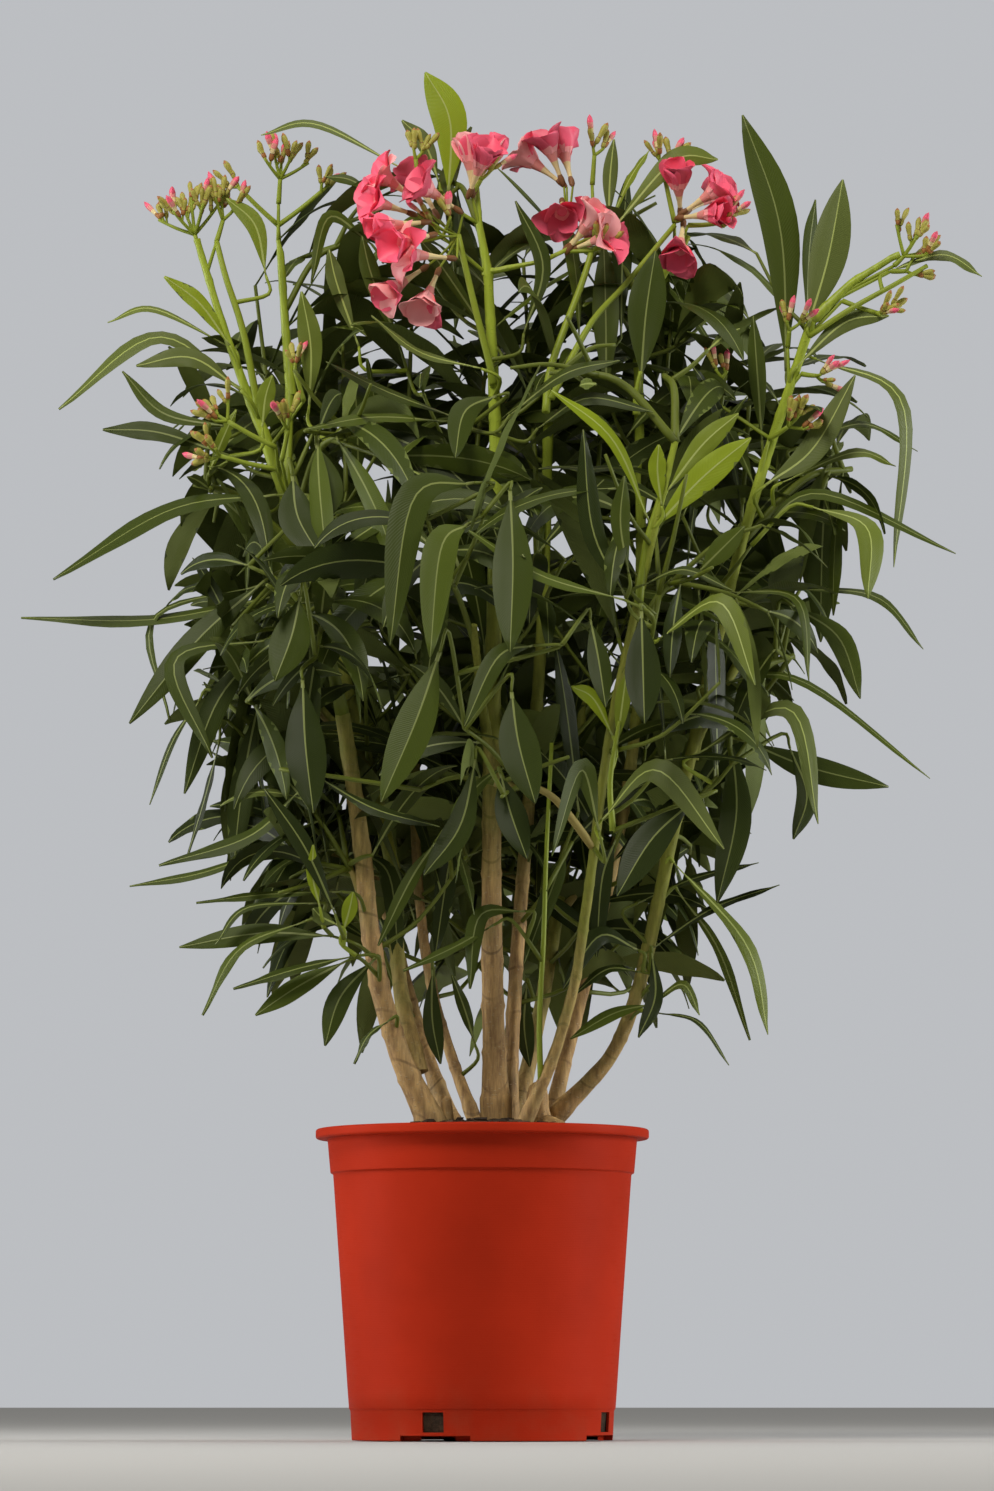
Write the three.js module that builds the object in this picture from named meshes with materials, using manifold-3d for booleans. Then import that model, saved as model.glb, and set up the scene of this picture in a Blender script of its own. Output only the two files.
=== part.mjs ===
// Potted oleander: a nursery pot of compost, a clump of woody stems with their boughs and
// flowering shoots, and the masses of leaves and blossom they carry. Each is its own solid.
// Millimetres, +Z up, origin at the centre of the pot's foot, front of the plant towards -Y.

import * as THREE from 'three';
import { mergeVertices } from 'three/addons/utils/BufferGeometryUtils.js';
import Module from 'manifold-3d';

const wasm = await Module();
wasm.setup();

// ---- driving dimensions -------------------------------------------------------------------

const TOUCH_GAP = 0.35; // clearance kept between two solids that meet
const MERGE_STEP = 1e-4; // vertices closer than this are one vertex

const POT = {
  height: 221,
  wall: 1.8,
  rimRadius: 120,
  rimDrop: 7, // height of the rolled lip
  collarTop: 111.5,
  collarFoot: 109.4,
  collarHeight: 25,
  bodyTop: 107.4,
  bodyFoot: 95,
  bandTop: 94,
  bandHeight: 21.7, // plain band round the foot
  footRadius: 93,
  footRing: 9, // width of the ring the pot stands on
  bossRadius: 30, // flat boss in the middle of the underside
  recess: 3, // lift of the floor between ring and boss
  floor: 5, // height of the floor inside
  chamfer: 1.4,
  sides: 30,
};

const DRAIN = {
  count: 4,
  firstAngle: -21.5, // degrees round from the front
  width: 16,
  height: 14,
  sill: 6,
  notchHeight: 3.8,
  notchHalfAngle: 16.5,
  holeReach: 10,
  notchReach: 22, // through the whole foot ring
};

const COMPOST = { edge: 212, shoulder: 222, crest: 230, shoulderRadius: 62 };

const LIMB = { sides: 6, stepLength: 52, buried: 6, flare: 1.25 }; // flare: swelling at the foot

const LEAF_MASS = {
  detail: 2, // subdivision of the starting icosahedron
  smallDetail: 1, // the same for a mass thinner than smallSize
  smallSize: 40,
  uneven: 0.1, // depth of the swells and hollows, as a share of the radius
  tongueCone: 29, // half angle of the cone that a tongue draws out, in degrees
};

const SEEDS = { leaves: 101, heads: 401 };

// ---- materials ----------------------------------------------------------------------------

const finish = (color, roughness) => new THREE.MeshStandardMaterial({ color, roughness, metalness: 0 });

const FINISHES = {
  pot: () => finish(0xb03a1c, 0.45),
  compost: () => finish(0x2a1c12, 0.95),
  bark: () => finish(0x8a6c42, 0.85),
  shoot: () => finish(0x7f9a34, 0.6),
  leaf: () => finish(0x33491f, 0.55),
  blossom: () => finish(0xd8345f, 0.6),
};

// ---- solids: geometry to manifold and back --------------------------------------------------

function toSolid(geometry) {
  const bare = geometry.clone();
  for (const name of Object.keys(bare.attributes)) {
    if (name !== 'position') bare.deleteAttribute(name);
  }
  const merged = mergeVertices(bare, MERGE_STEP);
  return new wasm.Manifold(
    new wasm.Mesh({
      numProp: 3,
      vertProperties: new Float32Array(merged.attributes.position.array),
      triVerts: new Uint32Array(merged.index.array),
    }),
  );
}

function toGeometry(solid) {
  const mesh = solid.getMesh();
  const geometry = new THREE.BufferGeometry();
  geometry.setAttribute('position', new THREE.BufferAttribute(mesh.vertProperties, mesh.numProp));
  geometry.setIndex(new THREE.BufferAttribute(mesh.triVerts, 1));
  geometry.computeVertexNormals();
  return geometry;
}

// The one body of a cut solid that `rank` puts first.
function keepBody(solid, rank) {
  const bodies = solid.decompose();
  return bodies.reduce((best, body) => (rank(body) > rank(best) ? body : best));
}

const byVolume = (body) => body.volume();
const byFoot = (body) => -body.boundingBox().min[2];

// Seeded random numbers from 0 to 1, so that every build gives the same plant.
function randomFrom(seed) {
  let state = seed;
  return () => {
    state = (state * 1664525 + 1013904223) % 4294967296;
    return state / 4294967296;
  };
}

// ---- pot and compost ------------------------------------------------------------------------

function turned(profile, sides) {
  const points = profile.map(([radius, height]) => new THREE.Vector2(radius, height));
  return new THREE.LatheGeometry(points, sides).rotateX(Math.PI / 2);
}

const lipFoot = POT.height - POT.rimDrop;
const collarBase = lipFoot - POT.collarHeight;

// The inner wall, from the floor up, where `clearance` draws it in from the plastic.
function potInside(clearance) {
  const inset = POT.wall + clearance;
  return [
    [POT.footRadius - inset, POT.floor + clearance],
    [POT.bandTop - inset, POT.bandHeight],
    [POT.bodyTop - inset, collarBase],
    [POT.collarTop - inset, POT.height],
  ];
}

function potSolid() {
  const { chamfer } = POT;
  const profile = [
    [0, 0],
    [POT.bossRadius - POT.recess, 0],
    [POT.bossRadius, POT.recess],
    [POT.footRadius - POT.footRing, POT.recess],
    [POT.footRadius - POT.footRing, 0],
    [POT.footRadius, 0],
    [POT.bandTop, POT.bandHeight],
    [POT.bodyFoot, POT.bandHeight + chamfer],
    [POT.bodyTop, collarBase],
    [POT.collarFoot, collarBase + chamfer],
    [POT.collarTop, lipFoot],
    [POT.rimRadius, lipFoot + chamfer],
    [POT.rimRadius, POT.height - chamfer],
    [POT.rimRadius - chamfer, POT.height],
    ...potInside(0).reverse(),
    [0, POT.floor],
  ];
  let solid = toSolid(turned(profile, POT.sides));
  for (let index = 0; index < DRAIN.count; index += 1) {
    const angle = THREE.MathUtils.degToRad(DRAIN.firstAngle + (360 / DRAIN.count) * index);
    solid = solid.subtract(drainCutter(angle)).subtract(notchCutter(angle));
  }
  return solid;
}

// A box that pierces the wall at `angle` round from the front.
function wallCutter(angle, width, low, high, reach) {
  const box = new THREE.BoxGeometry(width, reach, high - low);
  box.translate(0, -POT.bandTop, (low + high) / 2);
  box.rotateZ(angle);
  return toSolid(box);
}

function drainCutter(angle) {
  return wallCutter(angle, DRAIN.width, DRAIN.sill, DRAIN.sill + DRAIN.height, DRAIN.holeReach);
}

function notchCutter(angle) {
  const halfWidth = POT.footRadius * Math.sin(THREE.MathUtils.degToRad(DRAIN.notchHalfAngle));
  return wallCutter(angle, 2 * halfWidth, -DRAIN.notchHeight, DRAIN.notchHeight, DRAIN.notchReach);
}

// The compost fills the pot and is heaped a little round the stems; `growth` lifts its surface.
function compostSolid(growth) {
  const [foot, band, shoulder, brim] = potInside(TOUCH_GAP);
  const share = (COMPOST.edge - shoulder[1]) / (brim[1] - shoulder[1]);
  const profile = [
    [0, POT.floor + TOUCH_GAP],
    foot,
    band,
    shoulder,
    [THREE.MathUtils.lerp(shoulder[0], brim[0], share), COMPOST.edge + growth],
    [COMPOST.shoulderRadius, COMPOST.shoulder + growth],
    [0, COMPOST.crest + growth],
  ];
  return toSolid(turned(profile, POT.sides));
}

// ---- limbs ------------------------------------------------------------------------------------

// One tapering limb along a smooth route: a cylinder of many rings bent on to the curve.
function limbSolid({ route, thick, thin }, growth) {
  const through = route.map((point) => new THREE.Vector3(...point));
  const curve = new THREE.CatmullRomCurve3(through, false, 'centripetal');
  const steps = Math.max(2, Math.round(curve.getLength() / LIMB.stepLength));
  const frames = curve.computeFrenetFrames(steps, false);
  const rod = new THREE.CylinderGeometry(1, 1, 1, LIMB.sides, steps);
  const place = rod.attributes.position;
  const vertex = new THREE.Vector3();
  for (let index = 0; index < place.count; index += 1) {
    vertex.fromBufferAttribute(place, index);
    const ring = Math.round((vertex.y + 0.5) * steps);
    const along = ring / steps;
    const swelling = ring === 0 ? LIMB.flare : 1;
    const radius = THREE.MathUtils.lerp(thick, thin, along) * swelling + growth;
    const point = curve.getPointAt(along);
    point.addScaledVector(frames.normals[ring], -vertex.x * radius);
    point.addScaledVector(frames.binormals[ring], vertex.z * radius);
    place.setXYZ(index, point.x, point.y, point.z);
  }
  return toSolid(rod);
}

const SOIL = COMPOST.crest - LIMB.buried;

const limb = (name, [thick, thin], route, whole = false) => ({ name, thick, thin, route, whole });
const WHOLE = true; // the leaves part round this limb, which keeps its length

// Woody stems, from the compost up: name, radius at foot and tip, and the points passed through.
const STEMS = [
  limb('stem_centre', [8.6, 3.4], [
    [10, -8, SOIL], [7, -10, 340], [7, -14, 520], [10, -22, 700], [4, -26, 838],
  ], WHOLE),
  limb('stem_left', [8, 5.4], [
    [-36, -10, SOIL], [-65, -18, 288], [-80, -24, 360], [-87, -32, 430], [-100, -40, 515],
  ], WHOLE),
  limb('stem_left_fork', [5.6, 4], [
    [-47, -8, 268], [-61, 6, 330], [-65, 22, 408], [-92, 30, 520], [-128, 20, 640], [-150, 4, 698],
  ]),
  limb('stem_inner_left', [4, 3], [
    [-4, 12, SOIL], [-26, 24, 285], [-40, 38, 340], [-50, 70, 470], [-40, 100, 600],
  ]),
  limb('stem_rear_centre', [5.4, 3.6], [
    [19, 16, SOIL], [23, 26, 320], [32, 40, 440], [44, 60, 600], [49, 56, 771],
  ]),
  limb('stem_front_right', [5.2, 3.2], [
    [30, -30, SOIL], [60, -46, 296], [74, -62, 377], [91, -90, 502], [114, -108, 606], [136, -116, 700],
  ], WHOLE),
  limb('stem_right', [6.4, 4], [
    [50, -2, SOIL + 4], [86, -6, 262], [110, -10, 315], [134, -16, 420], [190, -30, 655], [237, -40, 800],
  ], WHOLE),
  limb('stem_right_rear', [5, 3.4], [
    [48, 22, SOIL], [64, 30, 290], [82, 46, 360], [110, 60, 500], [116, 50, 640], [114, 40, 790],
  ]),
  limb('stem_back_left', [6, 3.6], [[-22, 36, SOIL], [-48, 70, 300], [-78, 96, 420], [-104, 112, 560]]),
  limb('stem_back_right', [6, 3.6], [[22, 46, SOIL], [40, 80, 300], [60, 106, 420], [76, 128, 560]]),
  limb('stub_thick', [8.4, 7.8], [[40, -14, SOIL], [39.5, -15, 236], [39.5, -16, 247]]),
  limb('stub_thin', [4, 3.4], [[-25, -4, SOIL], [-25, -5, 234], [-26, -6, 242]]),
];

// Boughs that leave a stem for a leaf mass.
const BOUGHS = [
  limb('bough_left', [4, 2.8], [[-84, 29, 490], [-130, 16, 540], [-172, 6, 590]]),
  limb('bough_right', [4, 2.8], [[152, -20, 500], [186, -2, 560], [216, 8, 610]]),
  limb('bough_front', [3.6, 2.6], [[7, -12, 480], [0, -42, 520], [-6, -100, 570]]),
];

// Green shoots that stand clear above the leaves and carry the blossom.
const SHOOTS = [
  limb('shoot_far_left', [3.6, 2.4], [[-151, 0, 702], [-170, -2, 752], [-190, -4, 808], [-208, -4, 868]]),
  limb('shoot_left', [3.4, 2.4], [[-140, 26, 760], [-147, 28, 840], [-149, 28, 902]]),
  limb('shoot_centre_fork', [2.8, 2.2], [[5, -27, 840], [26, -26, 846], [56, -22, 852], [80, -18, 868]]),
  limb('shoot_centre_tip', [2.8, 2.2], [[4, -26, 840], [-2, -28, 872], [-5, -28, 906]]),
  limb('shoot_right_tip', [3.4, 2.2], [[237, -40, 801], [262, -42, 826], [300, -44, 850]]),
  limb('shoot_upper_right', [3.2, 2.2], [[114, 34, 800], [128, 14, 840], [150, 4, 872]]),
];

// ---- leaf masses --------------------------------------------------------------------------------

// A closed uneven solid round `at`: an ellipsoid of half sizes `size`, swelled and hollowed by
// seeded waves, with a tongue drawn out to each furthest leaf tip in `tips`.
function massSolid({ at, size, tips, seed }, growth) {
  const centre = new THREE.Vector3(...at);
  const random = randomFrom(seed);
  const waves = Array.from({ length: 3 }, () => ({
    axis: new THREE.Vector3(random() - 0.5, random() - 0.5, random() - 0.5).normalize(),
    pitch: 3 + 3 * random(),
    phase: 2 * Math.PI * random(),
  }));
  const bodyRadius = (aim) => {
    const smooth = 1 / Math.hypot(aim.x / size[0], aim.y / size[1], aim.z / size[2]);
    const swells = waves.map(({ axis, pitch, phase }) => Math.sin(pitch * aim.dot(axis) + phase));
    return smooth * (1 + LEAF_MASS.uneven * swells.reduce((sum, swell) => sum + swell));
  };
  const tongues = tips.map((tip) => {
    const aim = new THREE.Vector3(...tip).sub(centre);
    const length = aim.length();
    aim.normalize();
    return { aim, draw: length - bodyRadius(aim) };
  });
  const coneEdge = Math.cos(THREE.MathUtils.degToRad(LEAF_MASS.tongueCone));

  const isSmall = Math.min(...size) < LEAF_MASS.smallSize;
  const detail = isSmall ? LEAF_MASS.smallDetail : LEAF_MASS.detail;
  const ball = mergeVertices(bareIcosahedron(detail), MERGE_STEP);
  const place = ball.attributes.position;
  const aimOf = (_, index) => new THREE.Vector3().fromBufferAttribute(place, index);
  const aims = Array.from({ length: place.count }, aimOf);
  for (const { aim } of tongues) {
    const nearest = aims.reduce((best, other) => (other.dot(aim) > best.dot(aim) ? other : best));
    nearest.copy(aim);
  }
  aims.forEach((aim, index) => {
    const drawn = tongues.map((tongue) => {
      const inside = Math.max(0, (aim.dot(tongue.aim) - coneEdge) / (1 - coneEdge));
      return tongue.draw * inside ** 2;
    });
    const point = centre.clone().addScaledVector(aim, bodyRadius(aim) + Math.max(0, ...drawn) + growth);
    place.setXYZ(index, point.x, point.y, point.z);
  });
  return toSolid(ball);
}

function bareIcosahedron(detail) {
  const ball = new THREE.IcosahedronGeometry(1, detail);
  ball.deleteAttribute('normal');
  ball.deleteAttribute('uv');
  return ball;
}

const mass = (name, at, size, tips = []) => ({ name, at, size, tips });

// Leaf masses: name, centre, half sizes, and the furthest leaf tips that each one reaches.
const LEAVES = [
  mass('leaves_low_left', [-152, -34, 412], [74, 78, 70], [
    [-252, -30, 396], [-201, -50, 304], [-111, -70, 285],
  ]),
  mass('leaves_low_right', [168, 12, 438], [37, 64, 46], [
    [207, 10, 291], [245, 0, 444],
  ]),
  mass('leaves_low_front', [10, -128, 458], [80, 56, 68], [[-12, -186, 385]]),
  mass('leaves_low_back', [0, 162, 424], [98, 60, 72], [[10, 232, 340], [-70, 200, 330]]),
  mass('leaves_low_back_left', [-146, 96, 436], [68, 56, 66], [[-210, 140, 360]]),
  mass('leaves_low_back_right', [138, 118, 440], [62, 56, 66], [
    [190, 166, 352], [176, 60, 272],
  ]),
  mass('leaves_mid_left', [-204, 0, 566], [80, 94, 86], [
    [-334, 0, 589], [-310, 20, 618], [-254, -40, 515],
  ]),
  mass('leaves_mid_left_front', [-112, -136, 574], [76, 66, 96], [[-130, -196, 458]]),
  mass('leaves_mid_front', [-6, -154, 616], [64, 62, 90], [[24, -226, 560]]),
  mass('leaves_mid_right_front', [176, -122, 588], [70, 68, 92], [[214, -164, 430]]),
  mass('leaves_mid_right', [244, 22, 566], [62, 90, 86], [
    [322, 0, 475], [319, 30, 569], [292, 60, 468],
  ]),
  mass('leaves_mid_back_right', [144, 148, 584], [78, 68, 80], [[224, 200, 520]]),
  mass('leaves_mid_back', [-10, 180, 590], [74, 62, 86], [[-10, 256, 520]]),
  mass('leaves_mid_back_left', [-146, 134, 592], [72, 64, 80], [[-226, 190, 510]]),
  mass('leaves_high_left', [-226, 0, 714], [64, 84, 70], [[-306, -10, 745], [-290, 30, 690]]),
  mass('leaves_high_left_front', [-92, -104, 738], [76, 68, 84], [[-130, -190, 700]]),
  mass('leaves_high_front', [62, -116, 758], [62, 66, 78], [[60, -206, 700]]),
  mass('leaves_high_right_front', [158, -64, 758], [44, 50, 60], [[170, -130, 720]]),
  mass('leaves_high_right', [284, 12, 702], [50, 82, 78], [
    [343, 0, 639], [300, -60, 629], [330, 50, 700],
  ]),
  mass('leaves_high_back_right', [144, 116, 744], [80, 66, 76], [[206, 186, 700]]),
  mass('leaves_high_back', [0, 134, 756], [72, 66, 76], [[0, 216, 720]]),
  mass('leaves_high_back_left', [-132, 108, 744], [68, 60, 72], [[-190, 176, 720]]),
  mass('leaves_top_left', [-92, 40, 852], [62, 58, 54], [[-162, 30, 946]]),
  mass('leaves_top_centre', [-26, 30, 916], [32, 28, 44], [[-42, 24, 994]]),
  mass('leaves_top_right', [86, 60, 858], [66, 60, 54], [[40, 44, 950]]),
  mass('leaves_right_tall', [212, -16, 850], [22, 20, 66], [[190, -20, 961], [256, -24, 914]]),
  mass('leaves_right_tip', [326, -40, 834], [20, 20, 12], [[364, -40, 845]]),
];

// Heads of flowers and buds: name, centre and half sizes.
const HEADS = [
  mass('bud_head_far_left', [-212, -6, 896], [32, 26, 24]),
  mass('bud_head_left', [-147, 28, 926], [26, 22, 20]),
  mass('flower_head_left', [-66, -52, 884], [40, 34, 46]),
  mass('flower_head_centre', [0, -34, 932], [18, 18, 22]),
  mass('flower_head_rear', [44, 14, 936], [22, 20, 22]),
  mass('flower_head_fork', [90, -20, 886], [22, 20, 22]),
  mass('flower_head_right', [166, 0, 896], [26, 24, 24]),
  mass('bud_head_right', [318, -46, 868], [22, 18, 14]),
];

// ---- assembly: what meets is cut, in order, so that no two solids overlap --------------------------

const plant = new THREE.Group();

function addNode(name, solid, material) {
  const mesh = new THREE.Mesh(toGeometry(solid), material);
  mesh.name = name;
  plant.add(mesh);
}

const lessAll = (solid, cutters) => cutters.reduce((rest, cutter) => rest.subtract(cutter), solid);

addNode('pot', potSolid(), FINISHES.pot());
addNode('compost', compostSolid(0), FINISHES.compost());

// Limbs stand on the compost and are cut where they spring from an earlier limb.
const limbCutters = [compostSolid(TOUCH_GAP)];
const wholeCutters = [];
const limbs = [...STEMS, ...BOUGHS, ...SHOOTS].map((each) => {
  const solid = keepBody(lessAll(limbSolid(each, 0), limbCutters), byVolume);
  const cutter = limbSolid(each, TOUCH_GAP);
  limbCutters.push(cutter);
  if (each.whole) wholeCutters.push(cutter);
  return { ...each, solid };
});

// Masses give way to the whole limbs and to the masses before them.
const massCutters = [];
function addMass(each, material) {
  const solid = keepBody(lessAll(massSolid(each, 0), [...massCutters, ...wholeCutters]), byVolume);
  massCutters.push(massSolid(each, 2 * TOUCH_GAP));
  addNode(each.name, solid, material);
}
HEADS.forEach((head, index) => addMass({ ...head, seed: SEEDS.heads + index }, FINISHES.blossom()));
LEAVES.forEach((leaves, index) => addMass({ ...leaves, seed: SEEDS.leaves + index }, FINISHES.leaf()));

// Every other limb ends where it enters a mass: the end by the foot stays, or a shoot's free length.
const shootNames = SHOOTS.map((each) => each.name);
for (const { name, whole, solid } of limbs) {
  const isShoot = shootNames.includes(name);
  const ended = whole ? solid : keepBody(lessAll(solid, massCutters), isShoot ? byVolume : byFoot);
  addNode(name, ended, isShoot ? FINISHES.shoot() : FINISHES.bark());
}

export default plant;
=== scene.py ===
"""Flowering oleander in a nursery pot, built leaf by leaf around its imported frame. Metres, +Z up."""

import math

import bmesh
import bpy
import numpy as np
from bpy.props import FloatProperty, FloatVectorProperty, IntProperty, PointerProperty
from mathutils import Matrix, Vector, noise
from mathutils.bvhtree import BVHTree


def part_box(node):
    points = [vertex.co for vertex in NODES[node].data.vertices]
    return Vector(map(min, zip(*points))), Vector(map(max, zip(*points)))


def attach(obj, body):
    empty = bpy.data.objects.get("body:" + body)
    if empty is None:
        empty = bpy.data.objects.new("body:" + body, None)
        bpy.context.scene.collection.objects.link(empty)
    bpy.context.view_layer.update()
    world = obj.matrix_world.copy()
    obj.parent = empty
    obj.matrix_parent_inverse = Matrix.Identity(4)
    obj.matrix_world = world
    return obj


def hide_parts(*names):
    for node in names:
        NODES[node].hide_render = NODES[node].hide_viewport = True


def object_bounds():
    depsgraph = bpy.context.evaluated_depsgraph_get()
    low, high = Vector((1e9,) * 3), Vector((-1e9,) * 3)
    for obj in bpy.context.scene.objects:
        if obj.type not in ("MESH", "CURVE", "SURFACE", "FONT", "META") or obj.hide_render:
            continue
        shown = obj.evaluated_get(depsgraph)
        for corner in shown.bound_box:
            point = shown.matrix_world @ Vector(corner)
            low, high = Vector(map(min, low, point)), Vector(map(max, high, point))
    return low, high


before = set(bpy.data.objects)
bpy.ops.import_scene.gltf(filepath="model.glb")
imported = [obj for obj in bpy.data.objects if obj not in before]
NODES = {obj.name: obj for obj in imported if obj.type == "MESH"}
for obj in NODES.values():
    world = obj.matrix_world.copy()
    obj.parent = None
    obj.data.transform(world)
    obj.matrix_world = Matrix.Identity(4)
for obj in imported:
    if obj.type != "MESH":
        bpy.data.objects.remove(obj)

bl_info = {
    "name": "Potted Oleander",
    "version": (1, 0, 0),
    "blender": (4, 5, 0),
    "location": "3D View > Sidebar > Oleander",
    "description": "Grows a flowering oleander in a nursery pot around its fixed frame",
    "category": "Add Mesh",
}

CAD_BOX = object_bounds()
MM = 0.001
# The camera stands this far from the plant, this high, and this far to the right of its axis.
CAMERA_DISTANCE = 4.1
EYE = 0.03
MIDDLE_X = 0.0105
UP = Vector((0, 0, 1))
FULL_TURN = 2 * math.pi
POT_LOW, POT_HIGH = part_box("pot")
COMPOST_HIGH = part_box("compost")[1]


def nodes_called(*starts):
    """CAD nodes whose names begin with any of these words, in order of name."""
    return [name for name in sorted(NODES) if name.startswith(starts)]


STEMS = nodes_called("stem_")
STUBS = nodes_called("stub_")
BOUGHS = nodes_called("bough_")
SHOOTS = nodes_called("shoot_")
FLOWER_HEADS = nodes_called("flower_head_")
BUD_HEADS = nodes_called("bud_head_")


# ---- settings --------------------------------------------------------------------------------


def length(name, default, description):
    return FloatProperty(name=name, default=default, min=0.0, unit="LENGTH", description=description)


def colour(name, default, description):
    return FloatVectorProperty(
        name=name, default=default, size=3, subtype="COLOR", min=0.0, max=1.0, description=description
    )


class PotSettings(bpy.types.PropertyGroup):
    """Sizes and colour of the nursery pot and its compost."""

    wall: length("Wall", 1.8 * MM, "Thickness of the plastic")
    lip: length("Lip", 7.0 * MM, "Height of the rolled lip")
    collar: length("Collar", 25.0 * MM, "Height of the straight collar under the lip")
    step: length("Step", 2.0 * MM, "How far the collar stands out from the body")
    band: length("Foot band", 21.7 * MM, "Height of the plain band round the foot")
    sides: IntProperty(name="Sides", default=160, min=24, description="Facets round the pot")
    plastic: colour("Plastic", (0.425, 0.027, 0.0085), "Colour of the pot")
    # Moist compost is dark, and this colour is kept very dark so that what shows through the drain holes
    # reads as their shade: partly painted shade.
    compost: colour("Compost", (0.030, 0.017, 0.009), "Colour of the moist compost")
    chips: IntProperty(name="Chips", default=520, min=0, description="Bark chips lying on the compost")


class StemSettings(bpy.types.PropertyGroup):
    """Sizes and colours of the woody stems and green shoots."""

    sides: IntProperty(name="Sides", default=18, min=6, description="Facets round a stem")
    ring: length("Ring spacing", 3.5 * MM, "Distance between rings of a stem's mesh")
    joint: length("Leaf joint spacing", 33.0 * MM, "Distance between old leaf joints")
    relief: length("Bark relief", 0.35 * MM, "Depth of the bark's ridges")
    green_from: length("Green from", 0.36, "Height at which the bark turns green")
    bark: colour("Bark", (0.600, 0.385, 0.150), "Colour of the old bark")
    bark_dark: colour("Dark bark", (0.190, 0.105, 0.048), "Colour in the bark's hollows")
    shoot: colour("Shoot", (0.300, 0.375, 0.026), "Colour of the green shoots")


class LeafSettings(bpy.types.PropertyGroup):
    """Sizes, numbers and colours of the leaves."""

    seed: IntProperty(name="Seed", default=7, description="Start of the random numbers for the crown")
    longest: length("Longest", 0.158, "Length of a full-grown leaf")
    width: FloatProperty(name="Width", default=0.150, min=0.02, description="Width as a share of length")
    joint: length("Joint spacing", 31.0 * MM, "Distance between whorls of leaves on a shoot")
    shoot_volume: FloatProperty(
        name="Volume per shoot", default=0.00026, min=0.00005, description="Cubic metres that one shoot fills"
    )
    mature: colour("Mature", (0.037, 0.054, 0.0075), "Colour of full-grown leaves")
    young: colour("Young", (0.175, 0.225, 0.010), "Colour of young leaves")
    rib: colour("Midrib", (0.185, 0.215, 0.055), "Colour of the midrib")


class BlossomSettings(bpy.types.PropertyGroup):
    """Sizes, numbers and colours of flowers and buds."""

    petal: length("Petal", 21.0 * MM, "Length of a petal")
    pink: colour("Petals", (0.920, 0.125, 0.215), "Colour of the petals")


class StageSettings(bpy.types.PropertyGroup):
    """Camera distance and floor."""

    distance: length("Camera distance", CAMERA_DISTANCE, "From the camera to the plant")
    eye: length("Camera height", EYE, "Height of the camera above the floor")
    lens: FloatProperty(name="Lens", default=138.0, min=10.0, description="Focal length in millimetres")
    floor: colour("Floor", (0.46, 0.46, 0.455), "Colour of the floor")


SETTINGS = {
    "oleander_pot": PotSettings,
    "oleander_stem": StemSettings,
    "oleander_leaf": LeafSettings,
    "oleander_blossom": BlossomSettings,
    "oleander_stage": StageSettings,
}


# ---- shader maths ----------------------------------------------------------------------------


class Value:
    """A value socket of a material, so that shader maths reads as arithmetic."""

    def __init__(self, recipe, socket):
        self.recipe = recipe
        self.socket = socket

    def _maths(self, operation, *terms, clamp=False):
        settings = {"operation": operation, "use_clamp": clamp}
        return self.recipe.node("ShaderNodeMath", settings, dict(enumerate(terms)))

    def __add__(self, other):
        return self._maths("ADD", self, other)

    __radd__ = __add__

    def __sub__(self, other):
        return self._maths("SUBTRACT", self, other)

    def __rsub__(self, other):
        return self._maths("SUBTRACT", other, self)

    def __mul__(self, other):
        return self._maths("MULTIPLY", self, other)

    __rmul__ = __mul__

    def sine(self):
        return self._maths("SINE", self)

    def size(self):
        return self._maths("ABSOLUTE", self)

    def between(self, low, high):
        """0 below low, 1 above high, straight between."""
        return self._maths("MULTIPLY_ADD", self, 1 / (high - low), -low / (high - low), clamp=True)


class Recipe:
    """One material and its nodes."""

    def __init__(self, name, roughness=0.5, specular=0.5):
        self.material = bpy.data.materials.new(name)
        self.material.use_nodes = True
        self.tree = self.material.node_tree
        self.surface = self.tree.nodes["Principled BSDF"]
        self.set(Roughness=roughness, Specular_IOR_Level=specular)

    def node(self, kind, settings=None, inputs=None, output=0):
        """Adds a node of this type, sets it up, fills its sockets and hands back one output."""
        made = self.tree.nodes.new(kind)
        for key, setting in (settings or {}).items():
            setattr(made, key, setting)
        for key, term in (inputs or {}).items():
            self._fill(made.inputs[key], term)
        return Value(self, made.outputs[output])

    def set(self, **sockets):
        """Fills sockets of the surface shader; an underscore in a name stands for a space."""
        for key, term in sockets.items():
            self._fill(self.surface.inputs[key.replace("_", " ")], term)

    def _fill(self, socket, term):
        if isinstance(term, Value):
            self.tree.links.new(term.socket, socket)
        elif hasattr(socket.default_value, "__len__") and len(socket.default_value) == 4:
            socket.default_value = (*term[:3], 1)
        else:
            socket.default_value = term

    def place(self):
        """Where a point of the surface is, in metres."""
        return self.node("ShaderNodeTexCoord", output=3)

    def part(self, vector, axis):
        return self.node("ShaderNodeSeparateXYZ", None, {"Vector": vector}, output=axis)

    def stretched(self, vector, scale):
        settings = {"operation": "MULTIPLY"}
        return self.node("ShaderNodeVectorMath", settings, {0: vector, 1: scale})

    def noise(self, vector, scale, detail=4.0, roughness=0.55):
        inputs = {"Vector": vector, "Scale": scale, "Detail": detail, "Roughness": roughness}
        return self.node("ShaderNodeTexNoise", None, inputs)

    def cells(self, vector, scale):
        return self.node("ShaderNodeTexVoronoi", {"feature": "F1"}, {"Vector": vector, "Scale": scale})

    def mix(self, factor, first, second):
        settings = {"data_type": "RGBA"}
        inputs = {0: factor, 6: first, 7: second}
        return self.node("ShaderNodeMix", settings, inputs, output=2)

    def bump(self, height, distance, strength=1.0):
        inputs = {"Height": height, "Distance": distance, "Strength": strength}
        self.set(Normal=self.node("ShaderNodeBump", None, inputs))


def tinted(shade, factor):
    return tuple(min(1.0, channel * factor) for channel in shade)


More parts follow.
